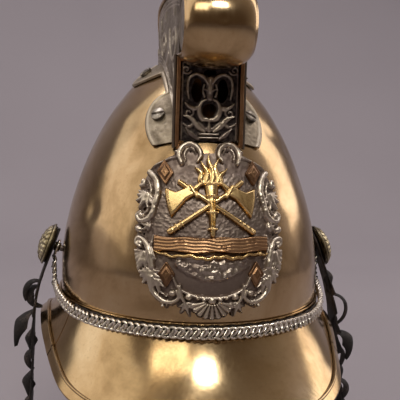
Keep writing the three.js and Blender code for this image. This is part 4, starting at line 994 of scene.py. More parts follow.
def trophy(x, z):
    work = Carving(x, z)
    for side in (-1, 1):
        haft = [(-side * 25, 115.2), (-side * 8, 127), (side * 8, 137.5), (side * 18.5, 144.8)]
        work.stroke(haft, (2.0, 1.6, 1.5, 1.8), 2.6)
        for share in (0.05, 0.13, 0.21):
            at = mix(np.array(haft[0]), np.array(haft[1]), share * 2)
            work.stroke([at + (-1.2, 1.7), at + (1.2, -1.7)], (0.5, 0.5), 3.1)
        # the axe head: a cheek that spreads from the haft to a bowed edge, and a short spike behind
        edge = [(25.4 + 1.7 * math.cos(t * 1.25) + 1.6 * t, 132.2 + 9.4 * t) for t in np.linspace(-1, 1, 11)]
        throat = [(21, 139.4), (14.5, 142.4), (11.2, 141.0), (9.4, 137.2), (14.5, 134.2), (20.5, 127.2)]
        blade = [(side * px, pz) for px, pz in edge + throat]
        work.height = np.maximum(work.height, slab(x, z, blade, 2.3, 1.5))
        inner = [(side * (px * 0.86 + 2.0), pz * 0.86 + 18.9) for px, pz in edge + throat]
        work.height += 0.35 * (slab(x, z, inner, 1, 0.5) > 0.5)
        work.stroke([(side * 9.4, 141.2), (side * 3.2, 147.0)], (1.9, 0.5), 2.5)
        work.stroke([(side * 8.9, 136.4), (side * 12.6, 142.4)], (1.3, 1.3), 3.3)
    work.stroke([(0, 113.8), (0, 124), (0, 134), (0, 143.5)], (1.6, 2.4, 3.1, 4.6), 3.1)
    for height, width in ((117.2, 2.5), (127, 3.3), (136.5, 4.1), (143.6, 5.6)):
        work.stroke([(-width, height), (width, height)], (0.8, 0.8), 3.6)
    for flute in (-1.4, 0, 1.4):
        work.stroke([(flute * 0.7, 119), (flute, 134)], (0.5, 0.5), 3.6)
    # flame tongues
    for start, way, size in ((0, 0, 18.5), (-2.4, -1, 13.5), (2.4, 1, 15), (-4.4, -2, 9.5), (4.4, 2, 9)):
        t = np.linspace(0, 1, 11)
        path = np.stack([start + way * 2.2 * t + 1.3 * np.sin(t * 6.0 + way), 144.5 + size * t], 1)
        work.stroke(path, (1.9, 2.5, 1.9, 1.0, 0.3), 3.1 - 0.2 * abs(way))
        work.stroke(path[:7], (0.3, 0.5, 0.3), 3.4 - 0.2 * abs(way))
    return work.height


def felled_log(x, z):
    wave = 0.5 * np.sin(x * 0.16 + 0.6) + 0.3 * np.sin(x * 0.43)
    body = [(px, 112.8 + 0.4 * math.sin(px * 0.3)) for px in np.linspace(-34.5, 34.5, 24)]
    under = [(px, 102.9 + 0.5 * math.sin(px * 0.23 + 1)) for px in np.linspace(34.5, -34.5, 24)]
    block = slab(x, z, body + under, 2.5, 1.1)
    grain = 0.5 * np.sin((z + wave) * 3.3) + 0.15 * np.sin((z + 1.4 * wave) * 7.1 + 0.1 * x)
    for cx, cz in ((-19, 109.4), (7, 106.6), (24, 109)):
        ring = np.hypot((x - cx) / 1.7, z - cz)
        grain = grain + 0.8 * np.cos(ring * 3.2) * np.exp(-(ring / 1.8) ** 2)
    return block + 0.45 * grain * (block > 1.2)


def ground_line(x, z):
    work = Carving(x, z)
    t = np.linspace(-34, 34, 90)
    lie = 100.6 + 0.6 * np.sin(t * 0.33) + 0.4 * np.sin(t * 0.9 + 1) + 0.0016 * t ** 2
    work.stroke(np.stack([t, lie], 1), (0.7, 1.2, 1.5, 1.3, 1.5, 1.2, 0.7), 2.3)
    for knot in (-27, -9, 6, 12, 29):
        work.bead((knot, float(np.interp(knot, t, lie))), 1.6, 2.6)
    return work.height


applied("badge_axes_and_torch", (-31, 112), (31, 165), trophy, gilt_brass, ["badge_emblem"])
applied("badge_felled_log", (-36, 100), (36, 115), felled_log, brown_gilt, ["badge_log"])
applied("badge_ground_line", (-36, 97), (36, 105), ground_line, gilt_brass, [])
LOZENGES = (("upper_left", -27, 150.5), ("upper_right", 27, 150.5), ("lower_left", -27, 90), ("lower_right", 27, 90))
LOZENGE_HALF, LOZENGE_TALL = 5.5, 8.5
for label, bx, bz in LOZENGES:
    def lozenge(x, z, bx=bx, bz=bz):
        slope = 1 - (np.abs(x - bx) / LOZENGE_HALF + np.abs(z - bz) / LOZENGE_TALL)
        outer_line = 0.5 * np.exp(-((slope - 0.16) / 0.07) ** 2)
        inner_line = 0.5 * np.exp(-((slope - 0.62) / 0.09) ** 2)
        return np.where(slope > 0.04, 0.5 + 1.7 * slope + outer_line + inner_line, 0)
    low = (bx - LOZENGE_HALF - 1, bz - LOZENGE_TALL - 1)
    high = (bx + LOZENGE_HALF + 1, bz + LOZENGE_TALL + 1)
    applied("badge_lozenge_" + label, low, high, lozenge, brown_gilt, ["badge_boss_" + label])

# %% [markdown]
# ## Copies with Geometry Nodes
# Screws, chain links, stitches and rivets are each one small shape, repeated. One node tree serves them all: it puts
# an instance of a pattern on every point of a mesh, turned by the quaternion kept on that point. It ends by making
# the instances real, because an exported model can't hold them, and by setting their finish. Copying in Python would
# give the same mesh, but the tree can be changed and seen at once.

# %% The stamping tree
def stamping_tree():
    tree = bpy.data.node_groups.new("stamp_copies", "GeometryNodeTree")
    for name, kind in (("Places", "Geometry"), ("Pattern", "Object"), ("Size", "Float"), ("Finish", "Material")):
        tree.interface.new_socket(name, in_out="INPUT", socket_type="NodeSocket" + kind)
    tree.interface.new_socket("Copies", in_out="OUTPUT", socket_type="NodeSocketGeometry")
    given = add_node(tree, "NodeGroupInput").outputs
    pattern = add_node(tree, "GeometryNodeObjectInfo", {"Object": given["Pattern"]}, transform_space="ORIGINAL")
    turn = add_node(tree, "GeometryNodeInputNamedAttribute", {"Name": "turn"}, data_type="QUATERNION").outputs[0]
    copies = add_node(tree, "GeometryNodeInstanceOnPoints",
                      {"Points": given["Places"], "Instance": pattern.outputs["Geometry"], "Rotation": turn,
                       "Scale": given["Size"]}).outputs[0]
    real = add_node(tree, "GeometryNodeRealizeInstances", {"Geometry": copies}).outputs[0]
    done = add_node(tree, "GeometryNodeSetMaterial", {"Geometry": real, "Material": given["Finish"]}).outputs[0]
    add_node(tree, "NodeGroupOutput", {"Copies": done})
    return tree


STAMP = stamping_tree()
SOCKETS = {item.name: item.identifier for item in STAMP.interface.items_tree if item.in_out == "INPUT"}


def turn_to(out, along):
    """The quaternion that lays a pattern's Z along out and its X as near as it can along along."""
    z = np.asarray(out, float) / np.linalg.norm(out)
    x = np.asarray(along, float) - np.dot(along, z) * z
    x /= np.linalg.norm(x)
    return Matrix((x, np.cross(z, x), z)).transposed().to_quaternion()


def stamped(name, pattern_parts, places, turns, finish, body="shell", stands_for=(), slot=None, corner=38):
    """One piece with a copy of the pattern at each place, made by the stamping tree."""
    pattern = piece_of(name + "_pattern", pattern_parts, finish, body)
    mesh = bpy.data.meshes.new(name)
    mesh.from_pydata((np.asarray(places) * MM).tolist(), [], [])
    turn = mesh.attributes.new("turn", "QUATERNION", "POINT")
    turn.data.foreach_set("value", np.array([list(q) for q in turns], np.float32).ravel())
    piece = bpy.data.objects.new(name, mesh)
    bpy.context.scene.collection.objects.link(piece)
    stamp = piece.modifiers.new("stamp", "NODES")
    stamp.node_group = STAMP
    for key, value in (("Pattern", pattern), ("Size", 1.0), ("Finish", finish)):
        stamp[SOCKETS[key]] = value
    whole = bpy.data.meshes.new_from_object(piece.evaluated_get(bpy.context.evaluated_depsgraph_get()))
    piece.modifiers.clear()
    piece.data = whole
    if "turn" in whole.attributes:
        whole.attributes.remove(whole.attributes["turn"])
    whole.set_sharp_from_angle(angle=math.radians(corner))
    bpy.data.objects.remove(pattern)
    return settle(piece, body, stands_for)

# %% [markdown]
# ## Comb screws
# Six cheese-headed screws hold the flanges. Each has a sawn slot and a slightly domed, worn head. The head is a grid
# with its slot pressed in, stamped at the six seats with its slot turned a different way each time.

# %% Comb screws
def screw_head(radius=4.6, height=2.6, slot_half=0.65, slot_depth=1.1):
    u, v = grid(48, 26, round_u=True)
    angle = 2 * np.pi * u
    reach = np.where(v < 0.75, v / 0.75, 1.0) * radius
    x, y = reach * np.cos(angle), reach * np.sin(angle)
    dome = height - 0.5 * (np.minimum(reach, radius - 0.3) / radius) ** 3
    top = np.where(v < 0.75, dome, mix(height - 0.55, 0, (v - 0.75) / 0.25))
    slot = smooth(slot_half + 0.28 - np.abs(y), 0, 0.28)
    top = np.minimum(top, mix(top, height - slot_depth, slot))
    under = np.stack([0.9 * x, 0.9 * y, np.full(x.shape, -0.2)], -1)
    return shell(np.stack([x, y, top], -1), under, round_u=True)


SIDES = ("left", "right")
screw_places, screw_turns = [], []
for side, tilts in ((-1, (-35, 20, 70)), (1, (15, -50, 5))):
    for over, tilt in zip(SCREW_TURNS, tilts):
        foot = float(root_half(over))
        seat = beside_comb(over, side * (foot + (FLANGE_WIDTH + LOBE * foot / COMB_HALF) / 2))
        axis = skull_normal(seat)
        first, second = sideways(axis)
        a = math.radians(tilt)
        screw_places.append(seat + axis * (GAP + 1.0 + GAP - 0.2))
        screw_turns.append(turn_to(axis, math.cos(a) * first + math.sin(a) * second))
stamped("comb_screws", screw_head(), screw_places, screw_turns, screw_brass, slot="screw_brass",
        stands_for=[f"comb_screw_{side}_{place}" for side in SIDES for place in ("front", "middle", "rear")])

# %% [markdown]
# ## Side bosses
# A stamped boss covers each side bolt: a low dome of petals and beads over a plain plate, tilted with the bolt. The
# dome is a carving on a round grid, so its petals can swell and overlap, and the plate and collar are turned shapes.

# %% Side bosses
SIDE_Y, SIDE_Z, SIDE_TILT = 4.0, 87.0, math.radians(20)
ROSETTE_RADIUS, ROSETTE_BASE = 15.5, 9.3


def side_axis(side):
    return np.array([side * math.cos(SIDE_TILT), 0, math.sin(SIDE_TILT)])


def side_seat(side):
    return np.array([side * HALF_WIDTH, SIDE_Y, SIDE_Z])


def petalled_dome(side, columns=288, rows=64):
    u, v = grid(columns, rows, round_u=True)
    angle, reach = 2 * np.pi * u, v * ROSETTE_RADIUS
    profile = np.interp(v, [0, 0.2, 0.4, 0.72, 0.93, 1.0], [7.6, 7.4, 6.8, 4.9, 2.2, 0.7])

    def ring(count, low, high, tall, phase=0.0):
        """Petals between two shares of the radius."""
        across = np.abs(np.cos(count / 2 * (angle + phase)))
        length = np.clip((v - low) / (high - low), 0, 1)
        return tall * np.sin(np.pi * length) ** 0.6 * np.sqrt(across)

    raised = np.maximum(0.9 * np.sqrt(np.clip(1 - (v / 0.15) ** 2, 0, 1)), ring(8, 0.16, 0.42, 0.9))
    raised = np.maximum(raised, ring(12, 0.40, 0.68, 1.0, 0.26))
    raised = np.maximum(raised, ring(18, 0.66, 0.90, 0.9))
    raised = np.maximum(raised, 0.5 * np.exp(-((v - 0.96) / 0.025) ** 2))
    first, second = sideways(side_axis(side))
    around = np.cos(angle)[..., None] * first + np.sin(angle)[..., None] * second

    def face(height, wall=0.0):
        out = (ROSETTE_BASE + height - wall)[..., None] * side_axis(side)
        return side_seat(side) + reach[..., None] * around + out

    inner = np.maximum(profile - 1.1, 0.05)
    return shell(face(profile + raised - 0.4), face(inner), round_u=True, marks={"relief": 0.02 + 0.8 * raised})


def ring_profile(inner, outer, low, high, soft=0.25):
    return [(inner, low), (outer - soft, low), (outer, low + soft), (outer, high - soft), (outer - soft, high),
            (inner, high), (inner, low)]


for side, label in ((-1, "left"), (1, "right")):
    seat, axis = side_seat(side), side_axis(side)
    piece_of("side_boss_" + label, petalled_dome(side), boss_brass, stands_for=["rosette_" + label],
             corner=60)
    piece_of("side_boss_plate_" + label, turned(ring_profile(2.6, 14.0, 8.1, 8.9), seat, axis, 72), boss_brass,
             stands_for=["rosette_plate_" + label])
    piece_of("side_boss_collar_" + label, turned(ring_profile(2.6, 3.4, 1.4, 5.5), seat, axis, 40), boss_brass,
             stands_for=["side_collar_" + label])
    bolt = [(0, -9), (2.0, -9), (2.2, -8.8), (2.2, 13.3), (0, 13.3)]
    piece_of("side_boss_bolt_" + label, turned(bolt, seat, axis, 32), bolt_steel,
             stands_for=["side_bolt_" + label])

# %% [markdown]
# ## Chin chain
# When it isn't under the chin, the chain lies round the front of the brim. It is a curb chain: every link is twisted
# flat so that each lies half over the next. A link is a closed wire along a bent oval, with few sides because there
# are about eighty of them, and the links follow a curve through the frame's own points.

# %% Chain course
CHAIN_Z, CHAIN_OUT, CHAIN_SIDE, CHAIN_RISE, CHAIN_THICK = 54.8, 5.3, 3.9, 8.0, 3.2
RING_RADIUS, RING_WIRE, RING_ALONG, RING_DROP = 5.3, 0.9, 3.5, 0.5


def ring_centre(side):
    down = np.array([side * math.sin(SIDE_TILT), 0, -math.cos(SIDE_TILT)])
    return side_seat(side) + RING_ALONG * side_axis(side) + RING_DROP * down


def chain_course(out, side_out, rise=0.0):
    foot = ring_centre(-1)[2] - (RING_RADIUS + RING_WIRE) * math.cos(SIDE_TILT)
    climb = [(foot - GAP - CHAIN_THICK / 2, 0, 1.7), (72, -2.5, 1.2), (65, -9, 0.6)]
    halves = []
    for side in (-1, 1):
        rows = [(side * (HALF_WIDTH + side_out + lean), SIDE_Y + y, z + rise) for z, y, lean in climb]
        for turn in (78, 70, 60, 48, 36, 24, 12):
            p = lift(skull_point(side * turn, 0), mix(out, side_out, float(smooth(turn, 50, 85))))
            rows.append((p[0], p[1], CHAIN_Z + rise + CHAIN_RISE * float(smooth(turn, 50, 92))))
        halves.append(rows)
    front = lift(skull_point(0, 0), out)
    curve = spline(halves[0] + [(front[0], front[1], CHAIN_Z + rise)] + halves[1][::-1])
    dense = curve(np.linspace(0, 1, 4001))
    walked = np.concatenate([[0], np.cumsum(np.linalg.norm(np.diff(dense, axis=0), axis=1))])

    def at(share):
        return np.stack([np.interp(share * walked[-1], walked, dense[:, k]) for k in range(3)], -1)

    return at, walked[-1]


def course_frames(at, share):
    p = at(share)
    way = unit(at(np.minimum(1, share + 1e-3)) - at(np.maximum(0, share - 1e-3)))
    level = p.copy()
    level[..., 2] = SEAM_Z
    out = skull_normal(level)
    up = unit(np.cross(out, way))
    return p, way, unit(np.cross(way, up)), up


# %% Chain links
def wire_loop(centre_line, radius, sides=6):
    """A wire closed on itself along points that lie round the origin."""
    line = np.asarray(centre_line, float)
    way = unit(np.roll(line, -1, 0) - np.roll(line, 1, 0))
    out = unit(line - way * np.sum(line * way, -1, keepdims=True))
    turn = np.linspace(0, 2 * np.pi, sides, endpoint=False)
    outline = np.stack([radius * np.cos(turn), radius * np.sin(turn)], 1)
    return sweep(outline, line, out, np.cross(way, out), closed=True)


# a link's half length and half width, how far it slants, how far it is twisted out of flat, and its wire's radius
LINK_LONG, LINK_WIDE, LINK_SLANT, LINK_TWIST, LINK_WIRE = 3.6, 3.2, 2.3, 0.85, 1.0


def curb_link(steps=18):
    t = np.linspace(0, 2 * np.pi, steps, endpoint=False)
    along = LINK_LONG * np.cos(t) + LINK_SLANT * np.sin(t)
    points, faces, _ = wire_loop(
        np.stack([along, LINK_WIDE * np.sin(t), LINK_TWIST * np.sin(2 * t)], 1), LINK_WIRE)
    # the wire's outward side is painted bright and its inward side, between the links, painted dark: a painted
    # highlight and painted shade, partly standing for rubbing and dirt
    return points, faces, {"relief": 0.62 + 0.33 * points[:, 2]}


def lay_chain(pitch=4.7):
    at, length = chain_course(CHAIN_OUT, CHAIN_SIDE)
    count = round(length / pitch)
    share = (np.arange(count) + 0.5) / count
    p, way, out, up = course_frames(at, share)
    draw = np.random.default_rng(3)
    turns = []
    for i in range(count):
        loose = draw.normal(0, 0.05, 2)
        turns.append(turn_to(out[i] + loose[0] * up[i] + loose[1] * way[i], way[i]))
    print("chain", round(length), "mm,", count, "links")
    stamped("chin_chain_links", curb_link(), p, turns, chain_white, "chain", ["chin_chain"], "chain_metal", corner=70)


lay_chain()
circle = np.linspace(0, 2 * np.pi, 48, endpoint=False)
for side, label in ((-1, "left"), (1, "right")):
    first, second = sideways(side_axis(side))
    loop = RING_RADIUS * (np.cos(circle)[:, None] * first + np.sin(circle)[:, None] * second)
    points, faces, _ = wire_loop(loop, RING_WIRE, 12)
    marks = {"relief": np.full(len(points), 0.7)}
    piece_of("chain_end_ring_" + label, (points + ring_centre(side), faces, marks), chain_white, "chain",
             ["chain_ring_" + label])

# %% [markdown]
# ## Leather
# The chain is backed with a leather strip, and two straps hang from the side bolts. Old harness leather dries out:
# its surface cracks into small plates, its edges pale to brown, and the straps' scalloped edges curl up like leaves.
# The finish is a cracked grain over a nearly black dye, with dusty patches where it has rubbed.

# %% Leather finishes
def dry_leather(name, dye, worn, dust, crack_mm, roughness=0.62, depth=0.25):
    finish, tree, shader, place = new_finish(name, 0.0)
    bent = add_node(tree, "ShaderNodeTexNoise", {"Vector": place, "Scale": 160.0, "Detail": 3.0}).outputs["Color"]
    shifted = add_node(tree, "ShaderNodeMix", {0: 0.012, 6: place, 7: bent}, data_type="RGBA",
                       blend_type="ADD").outputs[2]
    cracks = add_node(tree, "ShaderNodeTexVoronoi", {"Vector": shifted, "Scale": 1000 / crack_mm},
                      feature="DISTANCE_TO_EDGE").outputs["Distance"]
    cracks = add_node(tree, "ShaderNodeMapRange", {"Value": cracks, "From Max": 0.12}).outputs[0]
    grain = add_node(tree, "ShaderNodeTexNoise", {"Vector": place, "Scale": 900.0, "Detail": 4.0}).outputs[0]
    patch = add_node(tree, "ShaderNodeTexNoise", {"Vector": place, "Scale": 75.0, "Detail": 6.0}).outputs[0]
    tone = add_node(tree, "ShaderNodeValToRGB", {"Fac": patch},
                    stops=[(0.36, dye), (0.72, dust), (0.56, worn)]).outputs[0]
    tone = add_node(tree, "ShaderNodeMix", {0: cracks, 6: colour(dye), 7: tone}, data_type="RGBA").outputs[2]
    dull = add_node(tree, "ShaderNodeMapRange", {"Value": grain, "To Min": roughness - 0.14,
                                                 "To Max": roughness + 0.2}).outputs[0]
    height = add_node(tree, "ShaderNodeMath", {0: grain, 1: 0.45, 2: cracks}, operation="MULTIPLY_ADD").outputs[0]
    bump = add_node(tree, "ShaderNodeBump", {"Height": height, "Strength": 0.7, "Distance": depth * MM}).outputs[0]
    tree.links.new(tone, shader.inputs["Base Color"])
    tree.links.new(dull, shader.inputs["Roughness"])
    tree.links.new(bump, shader.inputs["Normal"])
    shader.inputs["Specular IOR Level"].default_value = 0.4
    return finish


# dyed harness leather, dried and cracked: cracks are drawn 3 mm apart so that they show
strap_leather = dry_leather("dry_black_leather", "120E0D", "2B2421", "5A4D47", 3.0)
# sheepskin lining leather: brown, softer and finer
liner_leather = dry_leather("worn_lining_leather", "33200F", "6B4A30", "93704E", 2.2, 0.66, 0.15)
linen_thread = dry_leather("waxed_linen_thread", "3A2C1C", "8A7350", "B7A27C", 0.8, 0.7, 0.05)


# %% Chain backing
BACKING_HALF, BACKING_THICK, BACKING_DROP = 4.2, 1.0, 0.2
BACKING_START, BACKING_END = 13 / 64, 51 / 64  # as shares of the chain's length


def chain_backing():
    out = CHAIN_OUT - CHAIN_THICK / 2 - GAP - BACKING_THICK / 2
    at, _ = chain_course(out, out, -BACKING_DROP)
    share = np.linspace(BACKING_START, BACKING_END, 260)
    p, _, across, up = course_frames(at, share)
    p = p + (0.25 * np.sin(share * 190))[:, None] * up
    half, wall, flat = BACKING_HALF, BACKING_THICK / 2, BACKING_HALF - 0.3
    outline = [(wall, -flat), (wall, flat), (0.3, half), (-0.3, half),
               (-wall, flat), (-wall, -flat), (-0.3, -half), (0.3, -half)]
    return sweep(outline, p, across, up)


piece_of("chain_leather_backing", chain_backing(), strap_leather, "chain", ["chain_backing"])

# %% [markdown]
# ## Chin straps
# Each strap's edges were cut into scallops, and each scallop has curled outwards. The strap is a sheet along its own
# hanging line. Both faces follow one rule, and the curl grows towards the edge and towards each scallop's tip. A
# cloth simulation isn't needed, because leather this stiff no longer hangs: it keeps the shape it dried in.

# %% Straps
STRAP_THICK, STRAP_HALF, STRAP_ABOVE, STRAP_LONG = 1.8, 10.0, 13.0, 170.0
PLAIN_END, SCALLOP, TOOTH, SCALLOPS_FROM = 46.0, 15.0, 3.2, 22.0
STRAP_LAY = 6.8
HANG = {-1: (1.0, (1, 2, 3, 2, 2, 1, 1, 0)), 1: (6.0, (2, 3, 4, 4, 3, 2, 1, 0))}


def strap_surface(side, s, w, offset):
    """s runs down the strap from its bolt, w from one edge (-1) to the other, and offset out of its middle."""
    hang, curls = HANG[side]
    steps = 34
    step = STRAP_LONG / steps
    bends = np.radians(mix(math.degrees(SIDE_TILT), hang, smooth(step * np.arange(steps + 1), 14, 62)))
    outs = np.concatenate([[0], np.cumsum(np.sin(bends[1:]) * step)])
    downs = np.concatenate([[0], np.cumsum(np.cos(bends[1:]) * step)])
    marks = step * np.arange(steps + 1)
    out = np.where(s < 0, s * math.sin(SIDE_TILT), np.interp(s, marks, outs))
    down = np.where(s < 0, s * math.cos(SIDE_TILT), np.interp(s, marks, downs))
    bend = np.where(s < 0, SIDE_TILT, np.interp(s, marks, bends))
    jagged = (s > SCALLOPS_FROM) & (s < STRAP_LONG - PLAIN_END)
    turns = (s - SCALLOPS_FROM) / SCALLOP
    phase = turns - np.floor(turns)
    # a scallop swells along a rounded line and falls back steeply to the next
    tooth = np.where(jagged, phase * (1 - smooth(phase, 0.9, 1.0)) ** 0.5 * (0.75 + 0.25 * np.sin(2.2 * turns)), 0)
    rounded = np.where(s < 0, np.sqrt(np.maximum(0, 1 - (s / STRAP_ABOVE) ** 2)), 1)
    end = 1 - 0.45 * smooth(s, STRAP_LONG - 14, STRAP_LONG) * (side > 0)
    half = (STRAP_HALF * end + TOOTH * tooth) * np.maximum(0.35, rounded)
    curl_size = np.array(curls, float)[np.clip(np.floor(turns).astype(int), 0, len(curls) - 1)]
    curl = curl_size * tooth * np.abs(w) ** 3 * np.where(w < 0, 1, 0.5)
    wavy = 0.35 * np.sin(s / 7.0 + 1.3 * w) * smooth(s, 30, 60) * np.abs(w)
    lay = STRAP_LAY + offset + wavy * (s < STRAP_LONG - PLAIN_END)
    x = HALF_WIDTH + lay * np.cos(bend) + out + curl
    z = SIDE_Z + lay * np.sin(bend) - down + 0.35 * curl * np.abs(w)
    return np.stack([side * x, SIDE_Y + half * w, z], -1)


STRAP_HOLES = (20, 34, 48, 62, 76)


def strap_sheet(side, columns=560, rows=33):
    u, v = grid(columns, rows)
    s, w = u * (STRAP_ABOVE + STRAP_LONG) - STRAP_ABOVE, 2 * v - 1
    thin = 0.5 * STRAP_THICK * np.sqrt(np.clip(1.12 - np.abs(w) ** 8, 0.12, 1))
    across = (s[:-1, :-1] + s[1:, 1:]) / 2, STRAP_HALF * (w[:-1, :-1] + w[1:, 1:]) / 2
    keep = np.hypot(across[0], across[1]) > 2.5
    if side > 0:
        for up in STRAP_HOLES:
            keep &= np.hypot(across[0] - (STRAP_LONG - up), across[1]) > 1.6
    else:
        keep &= ~((across[0] > STRAP_LONG - 2.2) & (np.abs(across[1]) < 2.2))
    crease = 0.12 * ripple(np.stack([s, 10 * w, 0 * s], -1), 7.0, 71 + side)
    return shell(strap_surface(side, s, w, thin + crease), strap_surface(side, s, w, crease - thin), keep)


strap_foot = strap_surface(-1, np.array(STRAP_LONG), np.array(0.0), 0.0)
BUCKLE_HALF, BUCKLE_TALL, ROD = 15.0, 22.0, 2.4
FOLD_OUTER = ROD / 2 + GAP + STRAP_THICK
buckle_bar = strap_foot - (0, 0, FOLD_OUTER - 1)
ACROSS = np.array([0.0, 1.0, 0.0])


def fold(low, high):
    """The strap's end, wrapped round the buckle's bar."""
    inner, soft = ROD / 2 + GAP, 0.5
    profile = [(inner, low), (FOLD_OUTER - soft, low), (FOLD_OUTER, low + soft), (FOLD_OUTER, high - soft),
               (FOLD_OUTER - soft, high), (inner, high), (inner, low)]
    return turned(profile, buckle_bar, ACROSS, 40)


# tongues of leather cut free along the strap: where each starts, its length, the angles above level at which it
# leaves the strap and at which it ends, its width, how far its root lies in front of the strap's middle, and how
# far it has twisted to face forwards
CUT_TONGUES = {-1: ((27, 21, 30, -120, 7, 5, 30), (31, 24, 15, -230, 10, 3, 55), (47, 30, -25, -95, 12, 6, 50),
                    (60, 20, -70, -120, 10, 2, 65), (76, 17, -20, -190, 9, 6, 40), (92, 22, -60, -120, 11, 3, 60),
                    (110, 16, -40, -170, 9, 5, 35)),
               1: ((17, 19, -50, -105, 10, 5, 60), (37, 34, 15, -160, 8, 5, 12), (50, 17, -65, -150, 9, 3, 55),
                   (66, 27, 10, -125, 12, 5, 60), (76, 25, -15, -215, 11, 4, 30), (88, 20, -60, -150, 10, 6, 65),
                   (103, 24, 5, -200, 11, 5, 45), (116, 17, -40, -120, 9, 4, 60))}


FURTHEST_CURL = -172


def curled_tongue(side, s, length, leaves, ends, width, ahead, twist, columns=34, rows=11):
    u, v = grid(columns, rows)
    # it stops before it would curl back through the strap
    ends = max(ends, FURTHEST_CURL - leaves)
    way = np.radians(mix(leaves, ends, np.linspace(0, 1, columns) ** 0.8))
    step = length / (columns - 1)
    out = np.concatenate([[0], np.cumsum(np.cos(way[1:]) * step)])[:, None]
    rise = np.concatenate([[0], np.cumsum(np.sin(way[1:]) * step)])[:, None]
    root = strap_surface(side, np.array(float(s)), np.array(0.0), 0.0)
    # widest a little out from its root, then drawn to a ragged point, and cupped across
    w = 2 * v - 1
    half = width / 2 * np.interp(u, [0, 0.2, 0.45, 0.75, 0.92, 1], [0.8, 1.0, 0.95, 0.55, 0.28, 0.05])
    half = half * (1 + 0.14 * np.sin(9 * u + s) * np.abs(w))
    turned_by = np.radians(twist) * smooth(u, 0.0, 0.5)
    cup = 0.2 * width * (1 - w ** 2) * smooth(u, 0, 0.4)
    thin = mix(0.85, 0.4, u) * np.sqrt(np.clip(1.1 - w ** 4, 0.1, 1))

    def face(lift_by):
        flat, high = half * w, cup + lift_by
        # turn the leaf's cross section about its own middle line
        ahead_by = flat * np.cos(turned_by) - high * np.sin(turned_by)
        above = flat * np.sin(turned_by) + high * np.cos(turned_by)
        x = out - np.sin(way)[:, None] * above
        z = rise + np.cos(way)[:, None] * above
        return root + np.stack([side * x, -ahead + ahead_by - 0.2 * out, z], -1)

    return shell(face(thin), face(-thin))


def strap_tongues(side):
    return [curled_tongue(side, *cut) for cut in CUT_TONGUES[side]]


left_strap = [strap_sheet(-1), fold(-9.0, -1.9), fold(1.9, 9.0)] + strap_tongues(-1)
right_strap = [strap_sheet(1)] + strap_tongues(1)
piece_of("chin_strap_leather_left", left_strap, strap_leather, "strap_left", ["chin_strap_left"])
piece_of("chin_strap_leather_right", right_strap, strap_leather, "strap_right", ["chin_strap_right"])

# %% [markdown]
# ## Buckle, tongue and keeper
# The buckle is a brass wire frame with soft corners, and its tongue is a flattened wire with an eye round the same
# bar. A leather loop above it holds the strap's tail. The frame and tongue are wires along rounded paths.

# %% Buckle
def rounded_path(corners, radius, steps=7):
    """A closed path with its corners rounded."""
    corners = [np.asarray(corner, float) for corner in corners]
    path = []
    for k, corner in enumerate(corners):
        before, after = corners[k - 1], corners[(k + 1) % len(corners)]
        start = corner + radius * (before - corner) / np.linalg.norm(before - corner)
        end = corner + radius * (after - corner) / np.linalg.norm(after - corner)
        path += [(1 - t) ** 2 * start + 2 * t * (1 - t) * corner + t * t * end for t in np.linspace(0, 1, steps)]
    return np.array(path)


def buckle_frame():
    half, drop = BUCKLE_HALF - ROD / 2, BUCKLE_TALL - ROD
    path = rounded_path([(0, -half, 0), (0, half, 0), (0, half, -drop), (0, -half, -drop)], 2.6)
    middle = np.array([0, 0, -drop / 2])
    points, faces, marks = wire_loop(path - middle, ROD / 2, 14)
    return points + middle + buckle_bar, faces, marks


def buckle_tongue(width=3.0, wall=1.2):
    eye = ring_profile(ROD / 2 + GAP, ROD / 2 + GAP + wall, -width / 2, width / 2, 0.3)
    z = np.linspace(0, -BUCKLE_TALL, 24)
    origin = np.stack([np.full(z.shape, -(ROD / 2 + GAP + wall / 2)), 0 * z, z], 1) + buckle_bar
    slim = np.array([(-0.6, -1.1), (-0.35, -1.5), (0.35, -1.5), (0.6, -1.1),
                     (0.6, 1.1), (0.35, 1.5), (-0.35, 1.5), (-0.6, 1.1)])
    finger = sweep(slim, origin, np.tile([1.0, 0, 0], (24, 1)), np.tile(ACROSS, (24, 1)))
    return [turned(eye, buckle_bar, ACROSS, 32), finger]


piece_of("buckle_wire_frame", buckle_frame(), screw_brass, "buckle", ["buckle_frame"])
piece_of("buckle_wire_tongue", buckle_tongue(), screw_brass, "tongue", ["buckle_tongue"])


def strap_keeper(wall=1.4, up=20.0):
    middle = strap_surface(-1, np.array(STRAP_LONG - up), np.array(0.0), 0.0)
    half_x, half_y = STRAP_THICK / 2 + GAP + wall / 2, STRAP_HALF + GAP + wall / 2
    path = rounded_path([(half_x, -half_y, 0), (half_x, half_y, 0), (-half_x, half_y, 0), (-half_x, -half_y, 0)], 1.2)
    way = unit(np.roll(path, -1, 0) - np.roll(path, 1, 0))
    outline = [(-0.7, -3.6), (-0.4, -4), (0.4, -4), (0.7, -3.6), (0.7, 3.6), (0.4, 4), (-0.4, 4), (-0.7, 3.6)]
    up_way = np.tile([0.0, 0.0, 1.0], (len(path), 1))
    return sweep(outline, path + middle, np.cross(way, up_way), up_way, closed=True)


piece_of("strap_leather_keeper", strap_keeper(), strap_leather, "strap_left", ["strap_keeper"])

# %% [markdown]
# ## Lining
# Inside, a leather band takes the wearer's brow, and eight leather tongues are gathered over the head by a wire ring.
# The band is stitched along its top edge and held by four rivets. The tongues are one sheet with slits left out of
# its grid, and the stitches are stamped copies.

# %% Lining
BAND_IN, BAND_THICK, BAND_LOW, BAND_HIGH, CROWN_Z, CROWN_HOLE, TONGUES = 7.7, 1.8, 44.0, 76.0, 166.0, 18.0, 8


def liner_oval(turn, inwards, z):
    return np.stack([(HALF_WIDTH - inwards) * np.sin(turn), -(HALF_LENGTH - inwards) * np.cos(turn), z], -1)


